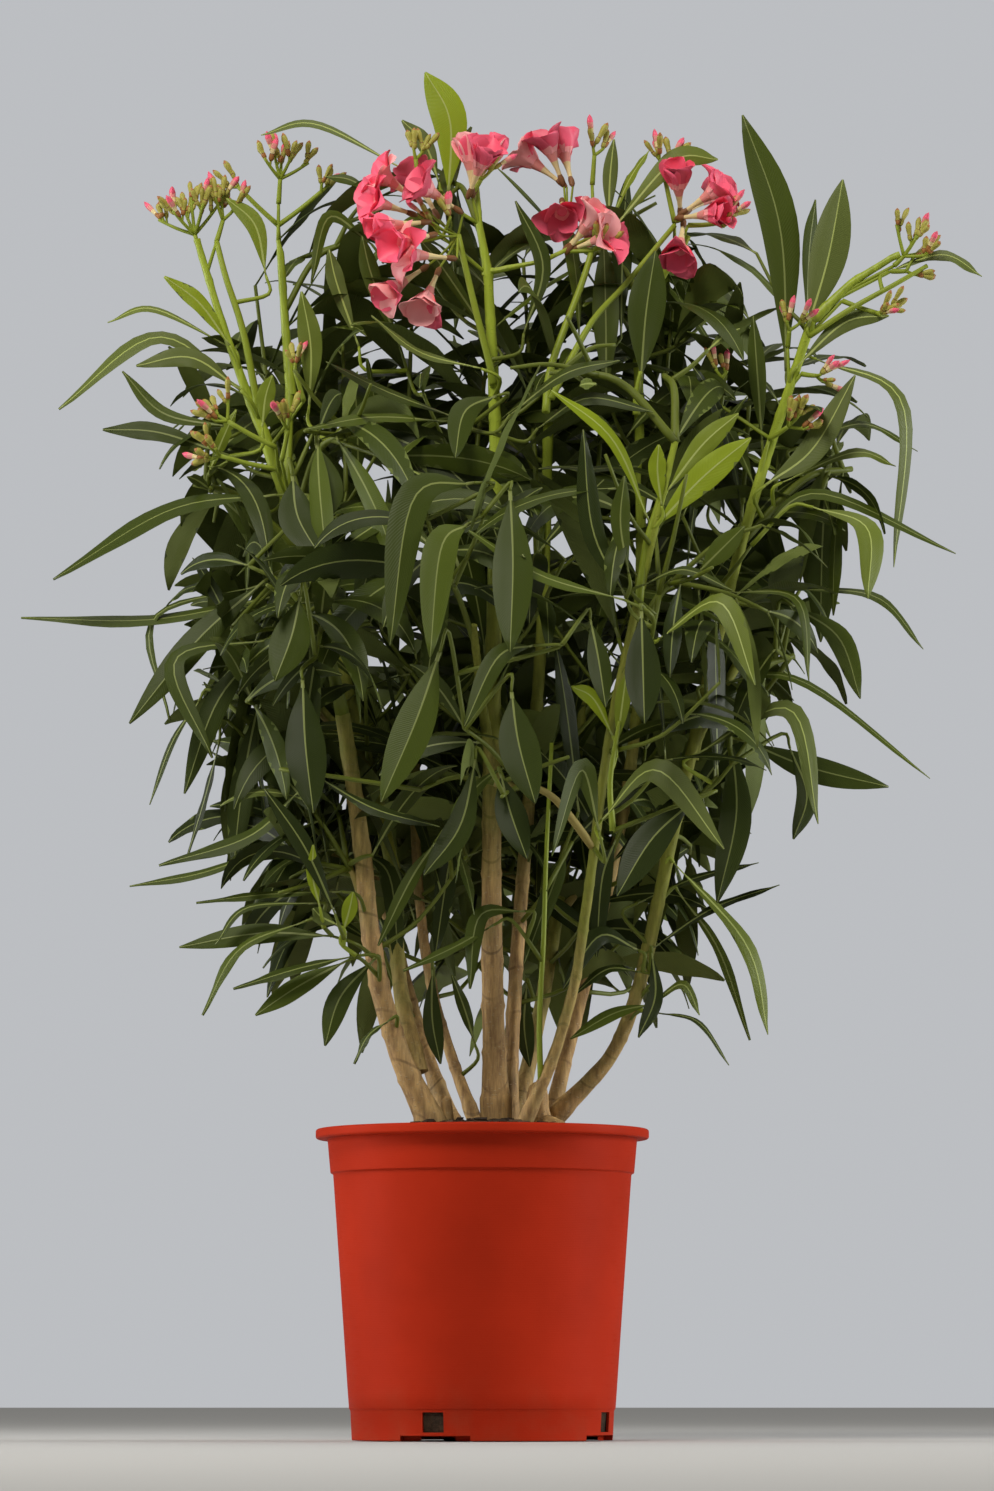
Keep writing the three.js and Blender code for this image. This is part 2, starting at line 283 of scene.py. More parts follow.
def blended(first, second, share):
    return tuple(a + (b - a) * share for a, b in zip(first, second))


DUST = (0.30, 0.10, 0.05)
BLOTCH = (0.30, 0.245, 0.115)
LENTICEL = (0.46, 0.36, 0.20)
GREEN_SPAN = 0.16
FRESH_BARK = (0.56, 0.72)


def shaded(recipe, factor, shade, dark, pale):
    """A colour that runs from a darker to a paler tint of itself."""
    return recipe.mix(factor, tinted(shade, dark), tinted(shade, pale))


def pot_plastic(settings):
    recipe = Recipe("pot_plastic", specular=0.025)
    place = recipe.place()
    cloud = recipe.noise(place, 9.0, 5.0)
    grain = recipe.noise(place, 900.0, 2.0)
    height = recipe.part(place, 2)
    dust = (1 - height.between(0.0, 0.05)) * recipe.noise(place, 46.0, 6.0).between(0.45, 0.8)
    body = shaded(recipe, cloud.between(0.3, 0.7), settings.plastic, 0.84, 1.1)
    recipe.set(Base_Color=recipe.mix(dust * 0.3, body, DUST))
    scuffs = recipe.noise(recipe.stretched(place, (1, 1, 9)), 60.0, 8.0).between(0.52, 0.74)
    recipe.set(Roughness=0.46 + 0.09 * cloud + 0.12 * scuffs + 0.2 * dust)
    rings = (height * 5200.0).sine()
    recipe.bump(grain * 0.6 + rings * 0.12 + scuffs * 0.2, 0.00012, 0.7)
    return recipe.material


def compost_finish(settings):
    recipe = Recipe("potting_compost", roughness=0.94, specular=0.25)
    place = recipe.place()
    crumbs = recipe.noise(place, 190.0, 8.0, 0.7)
    recipe.set(Base_Color=shaded(recipe, crumbs.between(0.3, 0.7), settings.compost, 0.5, 2.4))
    recipe.bump(crumbs, 0.002)
    return recipe.material


def bark_finish(settings, name, green_from):
    """Tan-brown bark with pale lenticels that turns green with height."""
    recipe = Recipe(name, roughness=0.72, specular=0.3)
    place = recipe.place()
    height = recipe.part(place, 2)
    streaks = recipe.noise(recipe.stretched(place, (1, 1, 0.14)), 260.0, 6.0, 0.65)
    blotch = recipe.noise(place, 34.0, 4.0)
    pores = 1 - recipe.cells(recipe.stretched(place, (1, 1, 2.2)), 210.0).between(0.12, 0.26)
    old = recipe.mix(streaks.between(0.28, 0.66), settings.bark_dark, settings.bark)
    old = recipe.mix(blotch.between(0.5, 0.8) * 0.55, old, BLOTCH)
    old = recipe.mix(pores * 0.6, old, LENTICEL)
    start = recipe.noise(recipe.stretched(place, (1, 1, 0)), 14.0, 0.0)
    rings = ((height + 0.09 * start) * (FULL_TURN / settings.joint)).sine().between(0.968, 0.996)
    old = recipe.mix(rings * blotch.between(0.38, 0.56) * 0.6, old, tinted(settings.bark_dark, 0.6))
    olive = blended(settings.bark_dark, settings.shoot, 0.62)
    green = shaded(recipe, streaks.between(0.3, 0.7), olive, 0.55, 0.9)
    fresh = shaded(recipe, streaks.between(0.3, 0.7), settings.shoot, 0.85, 1.2)
    turn = (height + 0.14 * (blotch - 0.5)).between(green_from, green_from + GREEN_SPAN)
    green = recipe.mix((height + 0.1 * (blotch - 0.5)).between(*FRESH_BARK), green, fresh)
    recipe.set(Base_Color=recipe.mix(turn, old, green))
    recipe.bump(streaks * (1 - 0.7 * turn) + pores * 0.35, 0.0007, 0.9)
    return recipe.material


def shoot_finish(settings):
    recipe = Recipe("green_shoot", roughness=0.46, specular=0.4)
    place = recipe.place()
    streaks = recipe.noise(recipe.stretched(place, (1, 1, 0.1)), 330.0, 4.0)
    recipe.set(Base_Color=shaded(recipe, streaks.between(0.3, 0.7), settings.shoot, 0.78, 1.18))
    recipe.bump(streaks, 0.0003, 0.6)
    return recipe.material


def leaf_finish(name, shade, roughness, veins=0.5):
    """A plain leaf colour, with fine veins that leave the midrib and slope to the tip."""
    recipe = Recipe(name, roughness=roughness, specular=0.17)
    recipe.set(Base_Color=shade)
    across_along = recipe.node("ShaderNodeUVMap", {"uv_map": "leaf"})
    across = recipe.part(across_along, 0)
    along = recipe.part(across_along, 1)
    waves = (along * 420.0 - across.size() * 34.0).sine()
    recipe.bump(waves * 0.5 + 0.5, 0.00016, veins)
    return recipe.material


def plain_finish(name, shade, roughness=0.55, grain=300.0, depth=0.0002):
    """A plain colour with a fine grain."""
    recipe = Recipe(name, roughness=roughness, specular=0.35)
    recipe.set(Base_Color=shade)
    recipe.bump(recipe.noise(recipe.place(), grain, 3.0), depth, 0.5)
    return recipe.material


# ---- meshes gathered from arrays -------------------------------------------------------------


class Bin:
    """Points and faces of many small things, to be joined into one mesh."""

    def __init__(self):
        self.points = []
        self.faces = []
        self.finishes = []
        self.spots = []
        self.margins = []
        self.count = 0

    def add(self, points, faces, finishes, spots=None, margins=None):
        """finishes: one index, or one for each face. spots: a place on the leaf for each point.
        margins: for each point, 0 or the number of the sharp rim that it lies on."""
        start = self.count
        self.points.append(np.asarray(points, float))
        self.faces.extend([index + start for index in face] for face in faces)
        if isinstance(finishes, int):
            finishes = [finishes] * len(faces)
        self.finishes.extend(finishes)
        self.spots.append(np.zeros((len(points), 2)) if spots is None else spots)
        self.margins.append(np.zeros(len(points), int) if margins is None else margins)
        self.count += len(points)

    def build(self, name, finishes, crease=None):
        """The joined mesh as an object, shaded smooth but for its rims."""
        mesh = bpy.data.meshes.new(name)
        mesh.from_pydata(np.concatenate(self.points), [], self.faces)
        for finish in finishes:
            mesh.materials.append(finish)
        mesh.polygons.foreach_set("material_index", self.finishes)
        mesh.polygons.foreach_set("use_smooth", [True] * len(mesh.polygons))
        spots = np.concatenate(self.spots)
        corners = np.empty(len(mesh.loops), np.int32)
        mesh.loops.foreach_get("vertex_index", corners)
        mesh.uv_layers.new(name="leaf").data.foreach_set("uv", spots[corners].ravel())
        margins = np.concatenate(self.margins)
        ends = np.empty(len(mesh.edges) * 2, np.int32)
        mesh.edges.foreach_get("vertices", ends)
        sides = margins[ends.reshape(-1, 2)]
        sharp = (sides[:, 0] > 0) & (sides[:, 0] == sides[:, 1])
        mesh.attributes.new("sharp_edge", "BOOLEAN", "EDGE").data.foreach_set("value", sharp)
        if crease:
            mesh.set_sharp_from_angle(angle=crease)
        mesh.update()
        made = bpy.data.objects.new(name, mesh)
        bpy.context.scene.collection.objects.link(made)
        return made


def ring_faces(rings, sides, start=0):
    """Quads between rings of points that close on themselves."""
    faces = []
    for ring in range(rings - 1):
        low = start + ring * sides
        for side in range(sides):
            after = (side + 1) % sides
            faces.append((low + side, low + after, low + sides + after, low + sides + side))
    return faces


def lathe(profile, sides, swell=None):
    """A solid turned about Z from (radius, height) points whose ends are on the axis."""
    inner = profile[1:-1]
    angles = np.arange(sides) * 2 * math.pi / sides
    points = [(0, 0, profile[0][1])]
    for radius, height in inner:
        for angle in angles:
            x, y = radius * math.sin(angle), -radius * math.cos(angle)
            points.append((x, y, height + (swell(x, y) if swell else 0)))
    points.append((0, 0, profile[-1][1]))
    faces = ring_faces(len(inner), sides, 1)
    last = len(points) - 1
    for side in range(sides):
        after = (side + 1) % sides
        faces.append((0, 1 + after, 1 + side))
        faces.append((last - sides + side, last - sides + after, last))
    return points, faces


BOX_CORNERS = [(x, y, z) for z in (-1, 1) for x, y in ((-1, -1), (1, -1), (1, 1), (-1, 1))]
BOX_FACES = [(3, 2, 1, 0), (4, 5, 6, 7)]
BOX_FACES += [(a, (a + 1) % 4, (a + 1) % 4 + 4, a + 4) for a in range(4)]


def arc(centre, radius, start, end, steps):
    """Points of (radius, height) on a rounded corner, by degrees."""
    turns = [math.radians(start + (end - start) * step / steps) for step in range(steps + 1)]
    return [(centre[0] + radius * math.cos(turn), centre[1] + radius * math.sin(turn)) for turn in turns]


def smooth_path(points, steps):
    """A smooth line of steps + 1 points through these ones."""
    knots = [Vector(point) for point in points]
    knots = [2 * knots[0] - knots[1], *knots, 2 * knots[-1] - knots[-2]]
    spans = len(knots) - 3
    line = []
    for step in range(steps + 1):
        along = spans * step / steps
        span = min(int(along), spans - 1)
        t = along - span
        a, b, c, d = knots[span : span + 4]
        line.append(
            0.5 * (2 * b + (c - a) * t + (2 * a - 5 * b + 4 * c - d) * t**2 + (3 * b - a - 3 * c + d) * t**3)
        )
    return line


def line_length(line):
    return sum((b - a).length for a, b in zip(line, line[1:]))


def headings(line):
    """The direction of travel at each point of a line."""
    ends = [line[0], *line, line[-1]]
    return [(ends[index + 2] - ends[index]).normalized() for index in range(len(line))]


def carried(first, ways):
    """A vector square to the line, carried along it with no needless twist."""
    normals = []
    normal = first
    for way in ways:
        normal = (normal - way * normal.dot(way)).normalized()
        normals.append(normal)
    return normals


def square_to(way):
    """Any unit vector square to this one."""
    other = UP if abs(way.z) < 0.9 else Vector((1, 0, 0))
    return (other - way * other.dot(way)).normalized()


def tube(line, radii, sides, bumps=None):
    """A closed round solid along a line, of a radius at each point."""
    ways = headings(line)
    normals = carried(square_to(ways[0]), ways)
    points = []
    for ring, (centre, way, normal, radius) in enumerate(zip(line, ways, normals, radii)):
        across = way.cross(normal)
        for side in range(sides):
            angle = FULL_TURN * side / sides
            reach = radius + (bumps(ring, angle) if bumps else 0)
            points.append(centre + normal * (math.cos(angle) * reach) + across * (math.sin(angle) * reach))
    faces = ring_faces(len(line), sides)
    faces.append(tuple(reversed(range(sides))))
    faces.append(tuple(range(len(points) - sides, len(points))))
    return points, faces


# ---- pot and compost -------------------------------------------------------------------------

RIM = (POT_HIGH.x - POT_LOW.x) / 2
POT_TOP = POT_HIGH.z
LIP_REACH = 8.5 * MM
COLLAR_TAPER = 2.1 * MM
FOOT_TAPER = 1.0 * MM
FOOT_RADIUS = 93.0 * MM
FOOT_RING = 9.0 * MM
BOSS = 30.0 * MM
RECESS = 3.0 * MM
FLOOR = 5.0 * MM
ROUND = 0.8 * MM
DRAINS = 4
DRAIN_TURN = -21.5
DRAIN_SIZE = (16.0 * MM, 14.0 * MM)
DRAIN_REACH = 10 * MM
DRAIN_SILL = 6.0 * MM
NOTCH_REACH = 22 * MM
NOTCH_HEIGHT = 3.8 * MM
NOTCH_TURN = 16.5
BODY_STEPS = 14


def pot_profile(pot):
    """Outer and inner outline of the pot, from the middle of its underside round to its floor."""
    lip_foot = POT_TOP - pot.lip
    collar_foot = lip_foot - pot.collar
    collar_top = RIM - LIP_REACH
    body_top = collar_top - COLLAR_TAPER - pot.step
    band_top = FOOT_RADIUS + FOOT_TAPER
    body_foot = band_top + FOOT_TAPER
    lip_round = pot.lip / 2
    profile = [(0, 0), (BOSS - RECESS, 0), (BOSS, RECESS), (FOOT_RADIUS - FOOT_RING, RECESS)]
    profile += arc((FOOT_RADIUS - FOOT_RING + ROUND, ROUND), ROUND, 180, 270, 3)
    profile += arc((FOOT_RADIUS - ROUND, ROUND), ROUND, -90, 0, 4)
    profile += [(band_top, pot.band - ROUND)]
    profile += arc((band_top + ROUND, pot.band), ROUND / 2, 200, 100, 3)
    profile += [(body_foot, pot.band + ROUND)]
    for step in range(1, BODY_STEPS):
        share = step / BODY_STEPS
        radius = body_foot + (body_top - body_foot) * share
        profile.append((radius, pot.band + (collar_foot - pot.band) * share))
    profile += arc((body_top + ROUND, collar_foot - ROUND), ROUND, 180, 120, 3)
    profile += arc((collar_top - COLLAR_TAPER - ROUND, collar_foot + 1.6 * ROUND), ROUND, -60, 0, 4)
    profile += [(collar_top - COLLAR_TAPER / 2, collar_foot + pot.collar / 2)]
    profile += arc((collar_top + ROUND, lip_foot - ROUND), ROUND, 180, 90, 4)
    profile += [(RIM - lip_round, lip_foot)]
    profile += arc((RIM - lip_round / 2, lip_foot + lip_round / 2), lip_round / 2, -90, 0, 5)
    profile += arc((RIM - lip_round / 2, POT_TOP - lip_round / 2), lip_round / 2, 0, 90, 5)
    profile += arc((collar_top - pot.wall + ROUND, POT_TOP - ROUND), ROUND, 90, 180, 4)
    profile += [(body_top - pot.wall, collar_foot), (band_top - pot.wall, pot.band)]
    profile += [(FOOT_RADIUS - pot.wall, FLOOR), (0, FLOOR)]
    return profile


def drain_cutters():
    """Boxes that open the drain holes and, under them, the notches in the foot ring."""
    cutters = Bin()
    notch_width = 2 * FOOT_RADIUS * math.sin(math.radians(NOTCH_TURN))
    shapes = [
        (DRAIN_SIZE[0], DRAIN_REACH, DRAIN_SILL, DRAIN_SILL + DRAIN_SIZE[1]),
        (notch_width, NOTCH_REACH, -NOTCH_HEIGHT, NOTCH_HEIGHT),
    ]
    middle = FOOT_RADIUS + FOOT_TAPER
    for drain in range(DRAINS):
        turn = Matrix.Rotation(math.radians(DRAIN_TURN + 360 / DRAINS * drain), 3, "Z")
        for width, reach, low, high in shapes:
            corners = [
                turn @ Vector((x * width / 2, -middle + y * reach / 2, high if z > 0 else low))
                for x, y, z in BOX_CORNERS
            ]
            cutters.add(corners, BOX_FACES, 0)
    return cutters.build("drain_cutters", [])


def cut(target, cutters):
    """Takes the cutters out of the target's mesh for good."""
    modifier = target.modifiers.new("drains", "BOOLEAN")
    modifier.object = cutters
    modifier.operation = "DIFFERENCE"
    modifier.solver = "EXACT"
    graph = bpy.context.evaluated_depsgraph_get()
    mesh = bpy.data.meshes.new_from_object(target.evaluated_get(graph))
    target.modifiers.clear()
    target.data = mesh
    bpy.data.objects.remove(cutters)


def make_pot(pot):
    shell = Bin()
    shell.add(*lathe(pot_profile(pot), pot.sides), 0)
    made = shell.build("nursery_pot", [pot_plastic(pot)])
    cut(made, drain_cutters())
    made.data.set_sharp_from_angle(angle=math.radians(32))
    return finished(made, ["pot"])


COMPOST_EDGE = 9.0 * MM
COMPOST_GAP = 0.6 * MM
CRUMB_HEIGHT = 2.2 * MM
COMPOST_RINGS = 44
COMPOST_SIDES = 120
CHIP_KINDS = (0.5, 0.38, 0.12)


def compost_height(x, y):
    """Height of the compost: heaped round the stems and crumbly."""
    reach = RIM - LIP_REACH
    share = min(1.0, math.hypot(x, y) / reach)
    heap = COMPOST_HIGH.z - 1.5 * CRUMB_HEIGHT - (COMPOST_HIGH.z - POT_TOP + COMPOST_EDGE) * share**2.2
    return heap + CRUMB_HEIGHT * noise.fractal(Vector((x, y, 0)) * 120, 0.8, 2.1, 5)


def chip(centre, size, rng):
    """A rough flat chip of bark: a small box with its corners pulled about."""
    spin = Matrix.Rotation(rng.uniform(0, FULL_TURN), 3, "Z")
    turn = spin @ Matrix.Rotation(rng.uniform(-0.5, 0.5), 3, "X")
    half = np.array([size, size * rng.uniform(0.35, 0.7), size * rng.uniform(0.15, 0.35)]) / 2
    pulled = [Vector(half * np.array(corner) * rng.uniform(0.6, 1.15, 3)) for corner in BOX_CORNERS]
    return [centre + turn @ corner for corner in pulled], BOX_FACES


def make_compost(pot):
    rng = np.random.default_rng(31)
    wall = RIM - LIP_REACH - pot.wall - COMPOST_GAP
    foot = FOOT_RADIUS - pot.wall - COMPOST_GAP
    bed_top = POT_TOP - COMPOST_EDGE
    outer = wall - 0.6 * MM
    profile = [(0, FLOOR + COMPOST_GAP), (foot, FLOOR + COMPOST_GAP), (outer - 3.6 * MM, bed_top - 30 * MM)]
    bed = Bin()
    rings = [outer * (1 - ring / COMPOST_RINGS) ** 0.9 for ring in range(COMPOST_RINGS)]
    profile += [(radius, bed_top) for radius in rings]
    points, faces = lathe([*profile, (0, bed_top)], COMPOST_SIDES)
    first_top = 1 + 2 * COMPOST_SIDES
    points[first_top:] = [(x, y, compost_height(x, y)) for x, y, _ in points[first_top:]]
    bed.add(points, faces, 0)
    for _ in range(pot.chips):
        radius = (wall - 5 * MM) * math.sqrt(rng.uniform(0.0, 1.0))
        angle = rng.uniform(0, FULL_TURN)
        x, y = radius * math.cos(angle), radius * math.sin(angle)
        size = rng.uniform(3.0, 11.0) * MM
        corners, chip_faces = chip(Vector((x, y, compost_height(x, y) + 0.4 * MM)), size, rng)
        bed.add(corners, chip_faces, int(rng.choice([1, 2, 3], p=CHIP_KINDS)))
    finishes = [
        compost_finish(pot),
        plain_finish("chip_dark", tinted(pot.compost, 1.2), 0.9, 700.0, 0.0005),
        plain_finish("chip_brown", (0.085, 0.045, 0.022), 0.85, 700.0, 0.0005),
        plain_finish("chip_pale", (0.20, 0.135, 0.075), 0.85, 700.0, 0.0005),
    ]
    made = bed.build("potting_compost_bed", finishes, crease=math.radians(40))
    return finished(made, ["compost"])


def finished(made, nodes):
    """Rides the piece on the plant's one body and lets it stand for its CAD nodes."""
    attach(made, "root")
    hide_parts(*nodes)
    return made


# ---- limbs -----------------------------------------------------------------------------------


END_INSET = 0.02


def limb_line(node, steps=16):
    """Centres and radii along a CAD limb, from its foot up, found by slicing its solid."""
    mesh = NODES[node].data
    points = np.array([vertex.co for vertex in mesh.vertices])
    ends = np.array([edge.vertices for edge in mesh.edges])
    low, high = points.min(0), points.max(0)
    axis = int(np.argmax(high - low))
    inset = END_INSET * (high - low)[axis]
    levels = np.linspace(low[axis] + inset, high[axis] - inset, steps)
    a, b = points[ends[:, 0]], points[ends[:, 1]]
    centres, rings = [], []
    for level in levels:
        crosses = (a[:, axis] - level) * (b[:, axis] - level) < 0
        share = (level - a[crosses, axis]) / (b[crosses, axis] - a[crosses, axis])
        ring = a[crosses] + (b[crosses] - a[crosses]) * share[:, None]
        rings.append(ring)
        centres.append(Vector((ring.min(0) + ring.max(0)) / 2))
    if centres[0].z > centres[-1].z:
        centres, rings = centres[::-1], rings[::-1]
    radii = []
    for centre, way, ring in zip(centres, headings(centres), rings):
        offsets = [Vector(point) - centre for point in ring]
        radii.append(max((offset - way * offset.dot(way)).length for offset in offsets))
    centres.append(centres[-1] + (centres[-1] - centres[-2]) * (inset / (levels[1] - levels[0])))
    radii.append(radii[-1])
    return centres, radii


LIMBS = {node: limb_line(node) for node in STEMS + STUBS + BOUGHS + SHOOTS}
ROOT = 14 * MM
SHOOT_ROOT = 3 * MM
# Swollen joints, the scars above them and the flared foot, as shares of the limb's radius.
SWELLING = 0.13
SCAR = 0.05
FLARE = 0.12
FLARE_HEIGHT = 0.012
# Limbs that are drawn finer than their solids, and limbs whose bark turns green lower down.
FINE_LIMBS = {"shoot_centre_fork": 0.62, "stem_front_right": 0.78, "stem_right": 0.82}
YOUNG_STEMS = ("stem_front_right", "stem_right", "stem_left_fork", "stem_back_right", "bough_right")
YOUNG_DROP = 0.13


def limb_relief(line, radii, stem, seed):
    """Ridges of bark, swollen leaf joints and a flared foot for tube()."""
    run = [0.0]
    for a, b in zip(line, line[1:]):
        run.append(run[-1] + (b - a).length)

    def bumps(ring, angle):
        along = run[ring]
        spot = Vector((math.cos(angle) * 2.2, math.sin(angle) * 2.2, along * 55 + seed * 7.3))
        ridge = stem.relief * noise.fractal(spot, 0.9, 2.0, 4)
        beat = (along / stem.joint + 0.17 * noise.noise(Vector((along * 9, seed, 0)))) % 1.0
        swelling = SWELLING * math.exp(-(((beat - 0.5) * 13) ** 2))
        scar = -SCAR * math.exp(-(((beat - 0.57) * 34) ** 2))
        above = max(0.0, along - ROOT)
        flare = FLARE * math.exp(-above / FLARE_HEIGHT) if line[0].z < COMPOST_HIGH.z else 0.0
        return ridge + radii[ring] * (swelling + scar + flare)

    return bumps


def make_limbs(stem):
    """Each stem, bough and shoot with the relief of its bark, in place of its plain solid."""
    bark = bark_finish(stem, "bark", stem.green_from)
    young_bark = bark_finish(stem, "bark_young", stem.green_from - YOUNG_DROP)
    green = shoot_finish(stem)
    for seed, (node, (centres, radii)) in enumerate(LIMBS.items()):
        count = max(6, round(line_length(centres) / stem.ring))
        line = smooth_path(centres, count)
        places = np.linspace(0, len(radii) - 1, count + 1)
        thick = np.interp(places, range(len(radii)), radii) * FINE_LIMBS.get(node, 1.0)
        is_green = node in SHOOTS
        line.insert(0, line[0] - (line[1] - line[0]).normalized() * (SHOOT_ROOT if is_green else ROOT))
        thick = np.insert(thick, 0, thick[0])
        limb = Bin()
        limb.add(*tube(line, thick, stem.sides, limb_relief(line, thick, stem, seed)), 0)
        finish = green if is_green else young_bark if node in YOUNG_STEMS else bark
        made = limb.build(node + "_grown", [finish], crease=math.radians(50))
        finished(made, [node])


# ---- leaves ----------------------------------------------------------------------------------

STATIONS = 15
BLADE = 0.42 * MM
RIB_RISE = 0.12 * MM
KEEL = 0.75 * MM
LEAST_HALF = 0.0007
RIB_HALF = (0.85 * MM, 0.28 * MM)
MATURE_TINTS = 5
YOUNG_TINTS = 4
UNDER_TINTS = 2
RIB = MATURE_TINTS + YOUNG_TINTS
YOUNG_RIB = RIB + 1
UNDER = YOUNG_RIB + 1


def leaf_shape(share):
    """Half width of the blade, as a share of its greatest, at a share of the leaf's length."""
    stalk = 0.07
    if share < stalk:
        return 0.10
    run = (share - stalk) / (1 - stalk)
    body = math.sin(math.pi * run**1.12) ** 0.82
    return max(0.03, body) + 0.07 * (1 - run) ** 3


SHAPE = [leaf_shape(station / STATIONS) for station in range(STATIONS + 1)]
RING_ACROSS = np.array([-1, -0.52, 0, 0, 0, 0.52, 1, 0.5, 0, -0.5])
RING_RIB = np.array([0, 0, -1, 0, 1, 0, 0, 0, 0, 0])
RING_OVER = np.array([0, 0.5, 0.5, 0.75, 0.5, 0.5, 0, -0.5, -0.5, -0.5])
RING_MARGIN = np.array([1, 0, 0, 0, 0, 0, 2, 0, 0, 0])
RIB_TOP, RIB_KEEL = 3, 8
RING = len(RING_ACROSS)
LEAF_FACES = ring_faces(STATIONS + 1, RING)
LEAF_FACES += [tuple(reversed(range(RING))), tuple(range(STATIONS * RING, STATIONS * RING + RING))]


def leaf_face_finishes(tint, under):
    """Blade above, midrib strip, blade below; the stalk is all midrib colour."""
    rib = RIB if tint < MATURE_TINTS else YOUNG_RIB
    ring = [tint, tint, rib, rib, tint, tint, under, under, under, under]
    return [rib] * RING + ring * (STATIONS - 1) + [rib, tint]


def add_leaf(leaves, line, faces_to, width, tint, under, fold=0.2, twist=0.0, wave=0.0):
    """One leaf along its midrib line; faces_to is the way its upper side looks at the stalk."""
    ways = headings(line)
    normals = carried(faces_to, ways)
    points = []
    spots = []
    for station, (centre, way, normal) in enumerate(zip(line, ways, normals)):
        share = station / STATIONS
        turned = Matrix.Rotation(twist * share, 3, way) @ normal
        side = way.cross(turned)
        half = max(0.5 * width * SHAPE[station], LEAST_HALF)
        rib = min(RIB_HALF[0] + (RIB_HALF[1] - RIB_HALF[0]) * share, 0.45 * half)
        across = RING_ACROSS * half + RING_RIB * rib
        ripple = wave * math.sin(19 * share + 3 * wave * 1000) * np.sign(RING_ACROSS)
        ripple = ripple * np.abs(RING_ACROSS) ** 2
        lift = np.abs(across) * fold * (1 - 0.5 * share) - 0.16 * np.abs(RING_ACROSS) ** 3 * half + ripple
        over = lift + RING_OVER * BLADE
        over[RIB_TOP] += RIB_RISE
        over[RIB_KEEL] -= KEEL * (1 - 0.8 * share)
        ring = np.outer(across, side) + np.outer(over, turned) + np.array(centre)
        points.append(ring)
        spots.append(np.column_stack([RING_ACROSS, np.full(RING, share)]))
    margins = np.tile(RING_MARGIN, STATIONS + 1)
    finishes = leaf_face_finishes(tint, under)
    leaves.add(np.concatenate(points), LEAF_FACES, finishes, np.concatenate(spots), margins)


def drooping_line(base, heading, reach, droop, sway):
    """A leaf's midrib that sets out one way and bends down under its own weight."""
    line = [base.copy()]
    step = reach / STATIONS
    heading = heading.normalized()
    place = line[0]
    for station in range(STATIONS):
        share = station / STATIONS
        level = heading.cross(-UP)
        bend = droop * (0.25 + 1.5 * share) / STATIONS
        if level.length > 1e-4:
            heading = Matrix.Rotation(bend * level.length, 3, level.normalized()) @ heading
        heading = Matrix.Rotation(sway / STATIONS, 3, UP) @ heading
        place = place + heading * step
        line.append(place)
    return line


# Left and right edge of the thick of the crown at heights above the floor. Past them only a share
# of the leaves stays, and twigs end short of them. No leaf reaches behind BACKMOST.
CORE_HEIGHTS = (0.26, 0.40, 0.50, 0.60, 0.72, 0.82, 0.92)
CORE_LEFT = (-0.135, -0.185, -0.200, -0.220, -0.238, -0.208, -0.150)
CORE_RIGHT = (0.130, 0.175, 0.214, 0.262, 0.290, 0.240, 0.175)
EDGE_SHARE = 0.16
EDGE_TWIG = 0.035
BACKMOST = 0.268
LOWEST_TIP = 262 * MM
# Angle between a leaf and its shoot in degrees: just opened, and what age adds.
LEAN, LEAN_GAIN = 18, 52
SHORTENED = (0.86, 0.84, 0.8)
TIP_SLACK = 0.012
WIDEST = 0.2
YOUNG_FROM = 0.4
# Mature leaves take darker tints low in the crown and paler tints high up, over this height and by chance:
# painted shade below, painted light above.
PAINTED_LIGHT_FOOT, PAINTED_LIGHT_SPAN, PAINTED_LIGHT_CHANCE = 0.48, 0.36, 0.9
JOIN_DROP = 14 * MM
JOIN_GAP = 4 * MM
LEAF_GROUPS = ("leaves_low_", "leaves_mid_", "leaves_high_", "leaves_top_")


